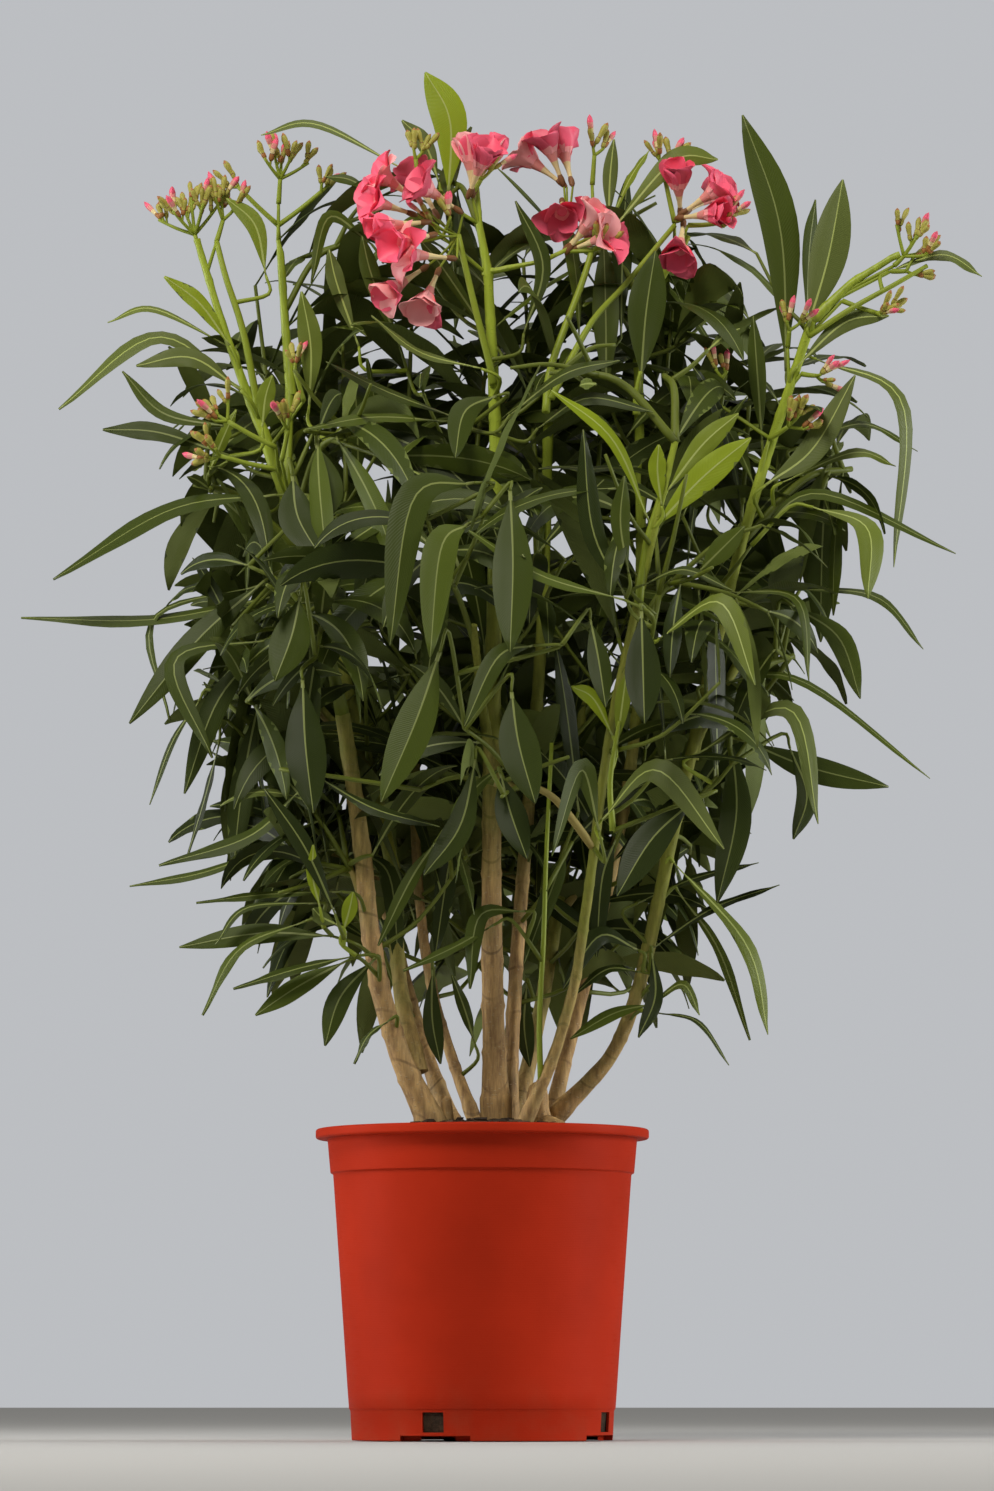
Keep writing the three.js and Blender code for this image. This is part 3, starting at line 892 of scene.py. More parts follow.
class Grower:
    """Grows shoots with whorls of leaves, and keeps them within the crown's outline."""

    def __init__(self, leaf, rng):
        self.leaf = leaf
        self.rng = rng
        self.twigs = Bin()
        meshes = [NODES[node].data for node in nodes_called(*LEAF_GROUPS)]
        points, faces = [], []
        for mesh in meshes:
            start = len(points)
            points += [vertex.co for vertex in mesh.vertices]
            faces += [[index + start for index in polygon.vertices] for polygon in mesh.polygons]
        self.outline = BVHTree.FromPolygons(points, faces)
        self.paths = []
        for node in STEMS + BOUGHS + SHOOTS:
            self.paths += LIMBS[node][0]
        self.shown = np.array(shown_spots())

    def hides(self, line):
        """Whether a leaf hangs between the camera and something the crown leaves open to view."""
        points = np.array([seen_at(point) for point in line[3:]])
        across = points[:, None, 0] - self.shown[None, :, 0]
        rise = points[:, None, 2] - self.shown[None, :, 2]
        nearer = points[:, None, 1] < self.shown[None, :, 1]
        close = across**2 + rise**2 < self.shown[None, :, 3] ** 2
        return bool((nearer & close).any())

    def beyond(self, point):
        """How far a point lies outside the nearest mass, below zero inside."""
        _, _, _, gap = self.outline.find_nearest(point)
        depth = 0
        start = point
        while True:
            met, normal, _, _ = self.outline.ray_cast(start, UP)
            if met is None:
                return -gap if depth > 0 else gap
            depth += 1 if normal.z > 0 else -1
            start = met + UP * 1e-5

    def past_core(self, point):
        """How far a point stands outside the thick of the crown, seen from the camera."""
        x, _, z = seen_at(point)
        left, right = (float(np.interp(z, CORE_HEIGHTS, edge)) for edge in (CORE_LEFT, CORE_RIGHT))
        return max(left - x, x - right)

    def add_twig(self, line, thick, thin, finish):
        radii = np.linspace(thick, thin, len(line))
        self.twigs.add(*tube(line, radii, 8), finish)
        self.paths += line

    def join(self, foot, way, finish):
        """Carries a leaf's stalk back to the nearest limb or twig below it."""
        nearest = feeding_point(self.paths, foot, JOIN_DROP, 1.5)
        gap = (foot - nearest).length
        if gap > JOIN_GAP:
            line = smooth_path([nearest, foot - way * gap * 0.35 - UP * gap * 0.1, foot], 8)
            self.add_twig(line, 1.8 * MM, 1.0 * MM, finish)

    def whorl(self, leaves, place, way, age, spin, count=3, spread=1.0, slack=0.02):
        """Leaves set round a joint. age runs from 0, just opened, to 1, full-grown."""
        rng = self.rng
        ring = square_to(way)
        for number in range(count):
            angle = spin + FULL_TURN * number / count + rng.normal(0, 0.16)
            out = Matrix.Rotation(angle, 3, way) @ ring
            lean = math.radians(LEAN + LEAN_GAIN * age**0.8) * spread + rng.normal(0, 0.14)
            heading = way * math.cos(lean) + out * math.sin(lean)
            reach = self.leaf.longest * (0.36 + 0.64 * min(1.0, age * 1.6)) * rng.uniform(0.78, 1.12)
            width = reach * self.leaf.width * rng.uniform(0.82, 1.2)
            droop = (0.15 + 1.25 * age) * rng.uniform(0.5, 1.5)
            line = drooping_line(place, heading, reach, droop, rng.normal(0, 0.35))
            for shorten in SHORTENED:
                if self.beyond(line[-1]) < slack and self.past_core(line[-1]) < 0:
                    break
                reach *= shorten
                line = drooping_line(place, heading, reach, droop * 1.15, 0)
            if self.beyond(line[-1]) > slack + TIP_SLACK or line[-1].z < LOWEST_TIP or self.hides(line):
                continue
            if max(point.y for point in line) > BACKMOST:
                continue
            if self.past_core(line[-1]) > 0.006 and rng.uniform() > EDGE_SHARE:
                continue
            width = min(width, WIDEST * reach)
            up = (way - heading * way.dot(heading)).normalized()
            young = 1 - age * 2.2 + 0.1 * rng.normal()
            # The tint runs from painted shade low in the crown to painted light high up.
            light = 0.3 + 2.9 * (place.z - PAINTED_LIGHT_FOOT) / PAINTED_LIGHT_SPAN + rng.normal(0, PAINTED_LIGHT_CHANCE)
            tint = min(max(0, round(light)), MATURE_TINTS - 1)
            if young > YOUNG_FROM:
                tint = MATURE_TINTS + int(rng.integers(YOUNG_TINTS))
            under = UNDER + int(rng.integers(UNDER_TINTS))
            twist = rng.normal(0, 0.35)
            fold, wave = rng.uniform(0.08, 0.34), rng.uniform(0, 0.0009)
            add_leaf(leaves, line, up, width, tint, under, fold, twist, wave)

    def leafy(self, leaves, line, first=0.2, oldest=1.0, youngest=0.0, slack=0.02, spread=1.0):
        """Whorls up a line, older below and younger at the tip."""
        run = line_length(line)
        joints = max(1, round(run * (1 - first) / self.leaf.joint))
        spin = self.rng.uniform(0, FULL_TURN)
        for joint in range(joints + 1):
            share = first + (1 - first) * joint / joints
            place, way = at_share(line, share)
            age = oldest + (youngest - oldest) * (joint / joints)
            self.whorl(leaves, place, way, age, spin + joint * math.pi / 3, slack=slack, spread=spread)


def feeding_point(paths, foot, drop, dislike):
    """The point of the limbs best placed to carry a stalk: near it, and rather below it."""
    below = foot - UP * drop
    return min(paths, key=lambda point: (below - point).length + dislike * max(0.0, point.z - below.z))


def at_share(line, share):
    """The point and the direction at a share of a line's length."""
    place = share * (len(line) - 1)
    index = min(int(place), len(line) - 2)
    way = (line[index + 1] - line[index]).normalized()
    return line[index].lerp(line[index + 1], place - index), way


def mass_facts(node):
    """Centre, half sizes and volume of a leaf mass."""
    shape = bmesh.new()
    shape.from_mesh(NODES[node].data)
    bmesh.ops.remove_doubles(shape, verts=shape.verts, dist=1e-6)
    volume = abs(shape.calc_volume())
    points = np.array([vertex.co for vertex in shape.verts])
    shape.free()
    centre = Vector(np.median(points, axis=0))
    return centre, Vector((points.max(0) - points.min(0)) / 2), volume


def nearest_limb(centre):
    """The limb point best placed to feed a mass: close by, and rather below it."""
    best = None
    for node in STEMS + BOUGHS + SHOOTS:
        centres, radii = LIMBS[node]
        for index, (point, radius) in enumerate(zip(centres, radii)):
            cost = (centre - point).length + max(0.0, point.z - centre.z + 0.05) * 2.0
            if best is None or cost < best[0]:
                is_tip = index == len(centres) - 1
                best = (cost, point, headings(centres)[index], radius, is_tip)
    return best[1:]


WOODY_TWIG, GREEN_TWIG, FRESH_TWIG = range(3)

# Short shoots from the stems inside the crown, and from the stretch below it.
INNER_FOOT = 0.44
INNER_SLACK = 10 * MM
SIDE_SHOOTS = {
    "stem_centre": 7,
    "stem_rear_centre": 6,
    "stem_inner_left": 4,
    "stem_right_rear": 6,
    "stem_left_fork": 5,
    "stem_back_left": 3,
    "stem_back_right": 3,
    "stem_front_right": 4,
    "stem_right": 5,
}
LOW_STRETCH = (0.295, 0.45)
LOW_SLACK = 60 * MM
LOW_SHOOTS = {
    "stem_rear_centre": 5,
    "stem_right_rear": 4,
    "stem_back_left": 4,
    "stem_back_right": 4,
    "stem_inner_left": 4,
    "stem_left_fork": 2,
    "stem_left": 2,
    "stem_front_right": 2,
}

# Limbs that carry leaves of their own: where they start, as a share of the limb, and the ages of
# the lowest and the topmost leaves.
LEAFY_LIMBS = (
    ("stem_centre", 0.62, 1.0, 0.45),
    ("stem_front_right", 0.45, 1.0, 0.5),
    ("stem_right", 0.5, 1.0, 0.5),
    ("stem_right_rear", 0.5, 1.0, 0.5),
    ("stem_rear_centre", 0.6, 1.0, 0.5),
    ("shoot_far_left", 0.1, 0.8, 0.3),
    ("shoot_left", 0.1, 0.8, 0.4),
    ("shoot_upper_right", 0.0, 0.8, 0.4),
)

# How far leaves may pass the masses that show and those behind, and how full the former grow.
SEEN_SLACK = -6 * MM
BACK_SLACK = 12 * MM
SEEN_FILL = 0.8
LARGEST_BOUGH = 3.2 * MM
TWIG_FOOT = 2.1 * MM
TWIG_TIP = 1.3 * MM
GOLDEN_TURN = 2.39996
SPIRAL_TURN = 2.4


def grow_mass(grower, node, leaves):
    """A bough from the nearest limb into a mass, forking into leafy shoots that fill it."""
    rng = grower.rng
    centre, half, volume = mass_facts(node)
    foot, way, radius, is_tip = nearest_limb(centre)
    thick = radius if is_tip else min(radius * 0.8, LARGEST_BOUGH)
    outward = Vector((centre.x, centre.y, 0)).normalized()
    end = centre - outward * half.length * 0.12
    bend = foot.lerp(end, 0.5) + way * (end - foot).length * 0.18
    bough = smooth_path([foot, bend, end], 12)
    grower.add_twig(bough, thick, TWIG_FOOT, WOODY_TWIG if centre.z < 0.55 else GREEN_TWIG)
    is_seen = node.endswith(("_left", "_right", "front")) and "back" not in node
    slack = SEEN_SLACK if is_seen else BACK_SLACK
    fill = SEEN_FILL if is_seen else 1.0
    shoots = max(2, round(volume * fill / grower.leaf.shoot_volume))
    turn = rng.uniform(0, FULL_TURN)
    youngest = 0.4 if centre.z < 0.66 else 0.12
    for shoot in range(shoots):
        share = (shoot + 0.5) / shoots
        angle = turn + shoot * GOLDEN_TURN
        level = 1 - 1.7 * share
        flat = math.sqrt(max(0.0, 1 - level * level))
        aim = Vector((flat * math.cos(angle), flat * math.sin(angle), level)) + outward * 0.35
        aim.normalize()
        target = centre + aim * half * rng.uniform(0.5, 0.72)
        over = grower.past_core(target) + EDGE_TWIG
        if over > 0:
            target.x -= math.copysign(over, target.x)
        start, _ = at_share(bough, rng.uniform(0.62, 0.98))
        lift = start.lerp(target, 0.55) + UP * (target - start).length * rng.uniform(-0.06, 0.14)
        line = smooth_path([start, lift, target], 8)
        grower.add_twig(line, TWIG_FOOT, TWIG_TIP, GREEN_TWIG)
        grower.leafy(leaves, line, 0.25, 1.0, youngest, slack=slack)


def grow_side_shoots(grower, node, count, leaves, low, high, slack):
    """Short leafy shoots from a stretch of stem, which close the crown inside."""
    rng = grower.rng
    centres, _ = LIMBS[node]
    stretch = [point for point in smooth_path(centres, 60) if low < point.z < high]
    turn = rng.uniform(0, FULL_TURN)
    for shoot in range(count):
        start, way = at_share(stretch, (shoot + rng.uniform(0.1, 0.9)) / count)
        out = Matrix.Rotation(turn + SPIRAL_TURN * shoot, 3, way) @ square_to(way)
        heading = (out + UP * rng.uniform(0.3, 0.8)).normalized()
        reach = rng.uniform(0.055, 0.1)
        line = smooth_path([start, start + heading * reach * 0.5, start + (heading + UP * 0.25) * reach], 6)
        if grower.hides(line):
            continue
        grower.add_twig(line, 1.8 * MM, 1.2 * MM, GREEN_TWIG)
        grower.leafy(leaves, line, 0.45, 1.0, 0.45, slack=slack)


def twig_finishes(stem):
    return [
        plain_finish("twig_woody", tinted(blended(stem.bark, stem.shoot, 0.4), 0.6), 0.7),
        plain_finish("twig_green", tinted(stem.shoot, 0.36), 0.55),
        plain_finish("twig_fresh", tinted(stem.shoot, 0.8), 0.5),
    ]


def leaf_finishes(leaf):
    finishes = []
    # Mature leaves come as darker and paler copies of one colour, from shaded to lit: painted shade and
    # painted light.
    for tint in range(MATURE_TINTS):
        share = tint / (MATURE_TINTS - 1)
        shade = tinted(blended(leaf.mature, leaf.young, 0.20 * share), 0.60 + 0.44 * share)
        finishes.append(leaf_finish(f"leaf_mature_shade_to_light_{tint}", shade, 0.40 + 0.06 * share))
    for tint in range(YOUNG_TINTS):
        share = tint / (YOUNG_TINTS - 1)
        shade = tinted(blended(leaf.mature, leaf.young, 0.45 + 0.55 * share), 1.0 + 0.35 * share)
        # All but the last young tint are greyed towards a grey-green, the first the most: a painted sheen.
        shade = blended(shade, (0.115, 0.135, 0.055), 0.45 * (1 - share))
        finishes.append(leaf_finish(f"leaf_young_{tint}", shade, 0.42))
    finishes.append(plain_finish("leaf_midrib", leaf.rib, 0.5))
    finishes.append(plain_finish("leaf_midrib_young", tinted(leaf.rib, 1.9), 0.5))
    for tint in range(UNDER_TINTS):
        shade = tinted(blended(leaf.mature, leaf.rib, 0.30), 1.0 + 0.5 * tint)
        finishes.append(leaf_finish(f"leaf_underside_{tint}", shade, 0.6, 0.8))
    return finishes


# Leaves that make the crown's outline and its front, in millimetres: foot of the stalk, bend (x, z) and tip,
# then width, which way the upper side looks, and the tone: painted shade or painted light on a mature leaf,
# or a young leaf, fresh with a painted grey sheen or bright.
TO_FRONT = (0.1, -1.0, 0.3)
TO_SKY = (0.0, -0.75, 0.8)
TO_LEFT = (-0.7, -0.7, 0.4)
TO_RIGHT = (0.7, -0.7, 0.4)
# Tones of the set leaves, in order: a mature leaf in painted shade, a mature leaf in painted light, a young
# leaf with a painted grey sheen, a bright young leaf.
SHADED_LEAF, LIT_LEAF, FRESH_WITH_SHEEN, BRIGHT = range(4)
SET_LEAVES = (
    # top of the crown
    ((-25, 10, 902), (-24, 958), (-42, 8, 994), 26, TO_FRONT, BRIGHT),
    ((-32, 14, 912), (-42, 940), (-59, 12, 958), 13, TO_FRONT, FRESH_WITH_SHEEN),
    ((-58, -6, 922), (-122, 955), (-162, 2, 947), 10, TO_SKY, FRESH_WITH_SHEEN),
    ((-83, 0, 906), (-98, 914), (-114, 0, 916), 12, TO_SKY, LIT_LEAF),
    ((221, -34, 772), (217, 878), (190, -26, 962), 28, TO_FRONT, LIT_LEAF),
    ((237, -44, 805), (252, 856), (263, -36, 914), 27, TO_FRONT, FRESH_WITH_SHEEN),
    ((236, -36, 806), (238, 860), (243, -24, 899), 14, TO_RIGHT, LIT_LEAF),
    ((115, -62, 765), (119, 815), (126, -58, 861), 27, TO_FRONT, LIT_LEAF),
    ((97, -6, 880), (140, 928), (172, -4, 929), 17, TO_FRONT, FRESH_WITH_SHEEN),
    ((92, 0, 884), (93, 915), (96, 2, 944), 11, TO_FRONT, FRESH_WITH_SHEEN),
    ((94, 4, 884), (108, 915), (122, 6, 936), 9, TO_LEFT, BRIGHT),
    ((203, -30, 721), (200, 768), (197, -34, 813), 13, TO_FRONT, LIT_LEAF),
    ((296, -44, 846), (336, 858), (364, -44, 842), 13, TO_SKY, FRESH_WITH_SHEEN),
    ((229, -42, 776), (264, 808), (296, -48, 813), 14, TO_FRONT, FRESH_WITH_SHEEN),
    ((30, -30, 800), (44, 850), (24, -40, 898), 12, TO_FRONT, LIT_LEAF),
    ((10, -24, 790), (-30, 850), (-46, -30, 870), 12, TO_LEFT, LIT_LEAF),
    # upper left
    ((-158, -8, 843), (-166, 880), (-187, -12, 900), 14, TO_FRONT, BRIGHT),
    ((-184, -8, 791), (-206, 822), (-232, -16, 842), 13, TO_FRONT, BRIGHT),
    ((-184, -2, 790), (-240, 818), (-273, 4, 808), 8, TO_SKY, FRESH_WITH_SHEEN),
    ((-177, -6, 760), (-238, 797), (-308, -4, 744), 16, TO_SKY, FRESH_WITH_SHEEN),
    ((-176, -14, 758), (-212, 782), (-252, -26, 776), 15, TO_FRONT, FRESH_WITH_SHEEN),
    ((-184, -10, 731), (-232, 741), (-262, -8, 772), 11, TO_FRONT, LIT_LEAF),
    ((-190, -20, 712), (-236, 727), (-276, -24, 729), 15, TO_FRONT, LIT_LEAF),
    ((-126, -50, 747), (-125, 790), (-132, -60, 831), 17, TO_FRONT, FRESH_WITH_SHEEN),
    ((-160, -40, 731), (-158, 752), (-153, -46, 769), 13, TO_FRONT, BRIGHT),
    ((-81, -10, 866), (-112, 886), (-125, -20, 837), 10, TO_LEFT, LIT_LEAF),
    ((-60, -20, 790), (-80, 840), (-88, -24, 872), 14, TO_FRONT, LIT_LEAF),
    ((-90, -20, 790), (-106, 836), (-112, -26, 862), 13, TO_FRONT, FRESH_WITH_SHEEN),
    # upper middle, lying towards the front
    ((-1, -60, 774), (-46, 786), (-81, -90, 813), 12, TO_SKY, FRESH_WITH_SHEEN),
    ((-20, -90, 738), (-70, 757), (-114, -120, 779), 14, TO_SKY, LIT_LEAF),
    ((-26, -100, 735), (-80, 738), (-129, -130, 729), 13, TO_SKY, LIT_LEAF),
    ((10, -110, 754), (-13, 742), (-20, -150, 708), 19, TO_FRONT, LIT_LEAF),
    ((-138, -130, 695), (-134, 665), (-117, -160, 635), 28, TO_FRONT, SHADED_LEAF),
    ((-121, -120, 719), (-114, 690), (-113, -140, 662), 24, TO_FRONT, LIT_LEAF),
    ((20, -120, 740), (60, 770), (100, -130, 780), 13, TO_SKY, LIT_LEAF),
    ((40, -110, 730), (76, 752), (124, -120, 742), 13, TO_SKY, SHADED_LEAF),
    # hanging at the front
    ((-6, -180, 690), (-50, 678), (-67, -215, 571), 25, TO_FRONT, LIT_LEAF),
    ((-10, -186, 660), (-30, 642), (-38, -222, 562), 24, TO_FRONT, LIT_LEAF),
    ((20, -180, 684), (22, 630), (20, -215, 566), 28, TO_FRONT, LIT_LEAF),
    ((103, -175, 604), (42, 622), (-10, -190, 655), 15, TO_SKY, LIT_LEAF),
    ((104, -150, 606), (80, 655), (73, -165, 729), 17, TO_FRONT, SHADED_LEAF),
    ((106, -160, 623), (100, 660), (103, -170, 695), 14, TO_FRONT, LIT_LEAF),
    ((-31, -190, 566), (-48, 516), (-73, -210, 457), 27, TO_FRONT, LIT_LEAF),
    ((-132, -170, 607), (-138, 578), (-150, -190, 545), 27, TO_FRONT, LIT_LEAF),
    ((-130, -180, 546), (-128, 500), (-122, -200, 449), 28, TO_FRONT, SHADED_LEAF),
    ((37, -180, 571), (11, 562), (-13, -200, 512), 15, TO_FRONT, LIT_LEAF),
    ((21, -190, 537), (26, 500), (38, -205, 456), 28, TO_FRONT, SHADED_LEAF),
    ((115, -180, 596), (116, 555), (117, -200, 514), 25, TO_FRONT, SHADED_LEAF),
    ((78, -165, 590), (84, 560), (89, -180, 526), 16, TO_FRONT, SHADED_LEAF),
    ((-5, -150, 488), (-16, 440), (-42, -165, 404), 19, TO_FRONT, SHADED_LEAF),
    ((-119, -150, 475), (-78, 452), (-31, -170, 439), 12, TO_SKY, SHADED_LEAF),
    ((13, -140, 478), (20, 450), (32, -155, 416), 22, TO_FRONT, SHADED_LEAF),
    ((84, -120, 436), (71, 480), (50, -150, 418), 19, TO_FRONT, LIT_LEAF),
    ((86, -110, 444), (126, 480), (174, -150, 423), 20, TO_SKY, FRESH_WITH_SHEEN),
    ((151, -110, 457), (122, 430), (97, -130, 389), 25, TO_FRONT, SHADED_LEAF),
    ((128, -130, 576), (172, 602), (197, -170, 542), 17, TO_SKY, FRESH_WITH_SHEEN),
    ((116, -120, 615), (146, 626), (181, -140, 611), 9, TO_SKY, LIT_LEAF),
    ((157, -120, 625), (172, 640), (190, -140, 658), 17, TO_FRONT, LIT_LEAF),
    # bright new leaves of the front shoot
    ((121, -108, 661), (94, 722), (50, -130, 758), 11, TO_SKY, BRIGHT),
    ((124, -112, 656), (160, 694), (195, -128, 723), 21, TO_FRONT, BRIGHT),
    ((134, -114, 684), (160, 718), (186, -120, 741), 16, TO_FRONT, BRIGHT),
    ((130, -116, 673), (127, 698), (128, -124, 718), 13, TO_FRONT, BRIGHT),
    ((97, -96, 498), (101, 528), (104, -104, 550), 11, TO_FRONT, BRIGHT),
    ((94, -94, 505), (80, 532), (64, -100, 541), 13, TO_SKY, BRIGHT),
    # left side
    ((-127, -30, 612), (-235, 590), (-334, -10, 591), 14, TO_SKY, LIT_LEAF),
    ((-150, -60, 681), (-226, 670), (-311, -50, 619), 23, TO_SKY, LIT_LEAF),
    ((-158, -50, 618), (-205, 576), (-255, -80, 514), 21, TO_FRONT, LIT_LEAF),
    ((-153, -70, 575), (-222, 560), (-195, -100, 489), 15, TO_LEFT, LIT_LEAF),
    ((-160, -20, 615), (-238, 590), (-226, -20, 516), 7, TO_SKY, LIT_LEAF),
    ((-158, -50, 571), (-192, 529), (-215, -60, 463), 18, TO_FRONT, SHADED_LEAF),
    ((-205, 10, 530), (-224, 500), (-240, 10, 455), 8, TO_LEFT, SHADED_LEAF),
    ((-190, -20, 500), (-200, 460), (-213, -20, 416), 8, TO_LEFT, SHADED_LEAF),
    ((-130, -70, 467), (-168, 432), (-233, -70, 411), 14, TO_SKY, LIT_LEAF),
    ((-150, -30, 425), (-200, 406), (-254, -20, 396), 10, TO_SKY, LIT_LEAF),
    ((-101, -50, 392), (-155, 390), (-206, -50, 384), 9, TO_SKY, LIT_LEAF),
    ((-108, -60, 360), (-160, 362), (-218, -60, 352), 16, TO_FRONT, LIT_LEAF),
    ((-127, -66, 371), (-175, 350), (-201, -70, 303), 10, TO_LEFT, LIT_LEAF),
    ((-118, -70, 384), (-170, 380), (-192, -76, 354), 7, TO_SKY, LIT_LEAF),
    ((-91, -60, 346), (-134, 336), (-179, -66, 322), 11, TO_SKY, LIT_LEAF),
    ((-98, -50, 342), (-132, 324), (-163, -56, 303), 15, TO_FRONT, LIT_LEAF),
    ((-78, -40, 343), (-102, 316), (-113, -46, 281), 17, TO_FRONT, LIT_LEAF),
    ((-66, -30, 300), (-82, 288), (-92, -34, 268), 7, TO_LEFT, LIT_LEAF),
    ((-106, -80, 376), (-128, 424), (-157, -86, 466), 14, TO_FRONT, SHADED_LEAF),
    ((-117, -76, 381), (-122, 402), (-122, -84, 426), 9, TO_FRONT, BRIGHT),
    ((-100, -66, 364), (-96, 378), (-93, -72, 392), 11, TO_FRONT, BRIGHT),
    ((-104, -68, 368), (-116, 374), (-122, -78, 380), 12, TO_FRONT, FRESH_WITH_SHEEN),
    ((-34, -60, 428), (-52, 400), (-75, -66, 353), 11, TO_FRONT, LIT_LEAF),
    ((8, -60, 368), (-20, 352), (-57, -70, 335), 10, TO_SKY, LIT_LEAF),
    ((31, -56, 378), (-2, 374), (-9, -66, 322), 14, TO_LEFT, LIT_LEAF),
    ((115, -20, 334), (90, 336), (66, -34, 318), 9, TO_SKY, SHADED_LEAF),
    ((112, -24, 350), (84, 360), (58, -44, 322), 14, TO_FRONT, SHADED_LEAF),
    ((-6, 10, 284), (-12, 305), (-22, 4, 332), 9, TO_FRONT, LIT_LEAF),
    ((-36, 20, 336), (-36, 300), (-30, 16, 268), 14, TO_FRONT, SHADED_LEAF),
    ((32, 30, 326), (30, 296), (34, 26, 266), 14, TO_FRONT, SHADED_LEAF),
    ((-84, 10, 420), (-66, 400), (-60, 6, 330), 15, TO_FRONT, SHADED_LEAF),
    ((-20, 10, 430), (-26, 400), (-34, 6, 345), 15, TO_FRONT, SHADED_LEAF),
    ((60, -40, 420), (52, 400), (30, -50, 340), 13, TO_FRONT, LIT_LEAF),
    ((96, -20, 430), (86, 400), (82, -26, 345), 15, TO_FRONT, SHADED_LEAF),
    # right side
    ((243, -30, 781), (305, 748), (298, -20, 628), 14, TO_RIGHT, FRESH_WITH_SHEEN),
    ((217, -30, 690), (270, 712), (300, -20, 702), 11, TO_SKY, FRESH_WITH_SHEEN),
    ((229, -10, 716), (276, 733), (316, 0, 713), 8, TO_SKY, LIT_LEAF),
    ((205, -40, 688), (240, 715), (271, -50, 769), 20, TO_FRONT, FRESH_WITH_SHEEN),
    ((195, -50, 644), (243, 682), (343, -30, 638), 12, TO_SKY, LIT_LEAF),
    ((240, -50, 672), (279, 656), (279, -70, 605), 22, TO_RIGHT, FRESH_WITH_SHEEN),
    ((179, -60, 610), (228, 604), (236, -70, 545), 9, TO_SKY, LIT_LEAF),
    ((226, -40, 599), (258, 576), (273, -50, 532), 18, TO_FRONT, LIT_LEAF),
    ((164, -30, 542), (230, 545), (323, -10, 474), 10, TO_SKY, LIT_LEAF),
    ((224, 0, 612), (285, 606), (319, 10, 568), 11, TO_SKY, LIT_LEAF),
    ((153, -50, 491), (222, 524), (242, -60, 441), 17, TO_SKY, FRESH_WITH_SHEEN),
    ((190, -20, 501), (236, 482), (293, -10, 468), 21, TO_FRONT, LIT_LEAF),
    ((222, -30, 496), (234, 462), (224, -40, 430), 15, TO_FRONT, SHADED_LEAF),
    ((179, -30, 506), (183, 448), (169, -50, 384), 23, TO_FRONT, SHADED_LEAF),
    ((138, -20, 413), (190, 353), (205, -20, 289), 14, TO_SKY, FRESH_WITH_SHEEN),
    ((141, -14, 392), (170, 350), (192, -8, 285), 8, TO_LEFT, LIT_LEAF),
    ((122, -16, 351), (166, 380), (214, -10, 397), 8, TO_SKY, SHADED_LEAF),
    ((112, -10, 384), (154, 402), (199, 0, 413), 8, TO_SKY, SHADED_LEAF),
    ((122, -16, 311), (144, 325), (156, -16, 303), 9, TO_SKY, FRESH_WITH_SHEEN),
    ((122, -18, 311), (94, 304), (63, -40, 286), 13, TO_SKY, LIT_LEAF),
    ((125, -12, 305), (155, 298), (177, -8, 267), 6, TO_SKY, LIT_LEAF),
    ((122, -22, 348), (124, 316), (112, -30, 287), 12, TO_FRONT, SHADED_LEAF),
)


def set_leaf(grower, leaves, row):
    """One leaf of the table, on a stalk from the nearest limb if its foot stands clear of one."""
    rng = grower.rng
    foot, bend, tip, width, looks, tone = row
    line = seen_path(leaf_knots(foot, bend, tip), STATIONS)
    # Shaded leaves take the two darkest mature tints and lit leaves the paler ones: painted shade and painted
    # light.
    tint = {
        SHADED_LEAF: int(rng.integers(0, 2)),
        LIT_LEAF: int(rng.integers(2, MATURE_TINTS)),
        FRESH_WITH_SHEEN: MATURE_TINTS + int(rng.integers(0, 2)),
        BRIGHT: MATURE_TINTS + 2 + int(rng.integers(0, 2)),
    }[tone]
    under = UNDER + (1 if tone > LIT_LEAF else 0)
    wave = rng.uniform(0, 0.0007)
    add_leaf(leaves, line, Vector(looks), width * MM, tint, under, rng.uniform(0.08, 0.22), 0.0, wave)
    grower.join(line[0], (line[1] - line[0]).normalized(), FRESH_TWIG if tone > LIT_LEAF else GREEN_TWIG)


def leaf_knots(foot, bend, tip):
    """Foot, bend and tip of a set leaf; the bend's depth is midway between the others'."""
    return foot, (bend[0], (foot[1] + tip[1]) / 2, bend[1]), tip


def seen_path(knots, steps):
    """A smooth line through points as lined_up() takes them."""
    return smooth_path([lined_up(knot) for knot in knots], steps)


def lined_up(point):
    """The point at this depth that stands, seen from the camera, at (x, z) of the middle plane."""
    x, y, z = (value * MM for value in point)
    nearer = (CAMERA_DISTANCE + y) / CAMERA_DISTANCE
    return Vector((MIDDLE_X + (x - MIDDLE_X) * nearer, y, EYE + (z - EYE) * nearer))


def seen_at(point):
    """Where, seen from the camera, the point stands on the middle plane; its depth stays."""
    farther = CAMERA_DISTANCE / (CAMERA_DISTANCE + point.y)
    return MIDDLE_X + (point.x - MIDDLE_X) * farther, point.y, EYE + (point.z - EYE) * farther


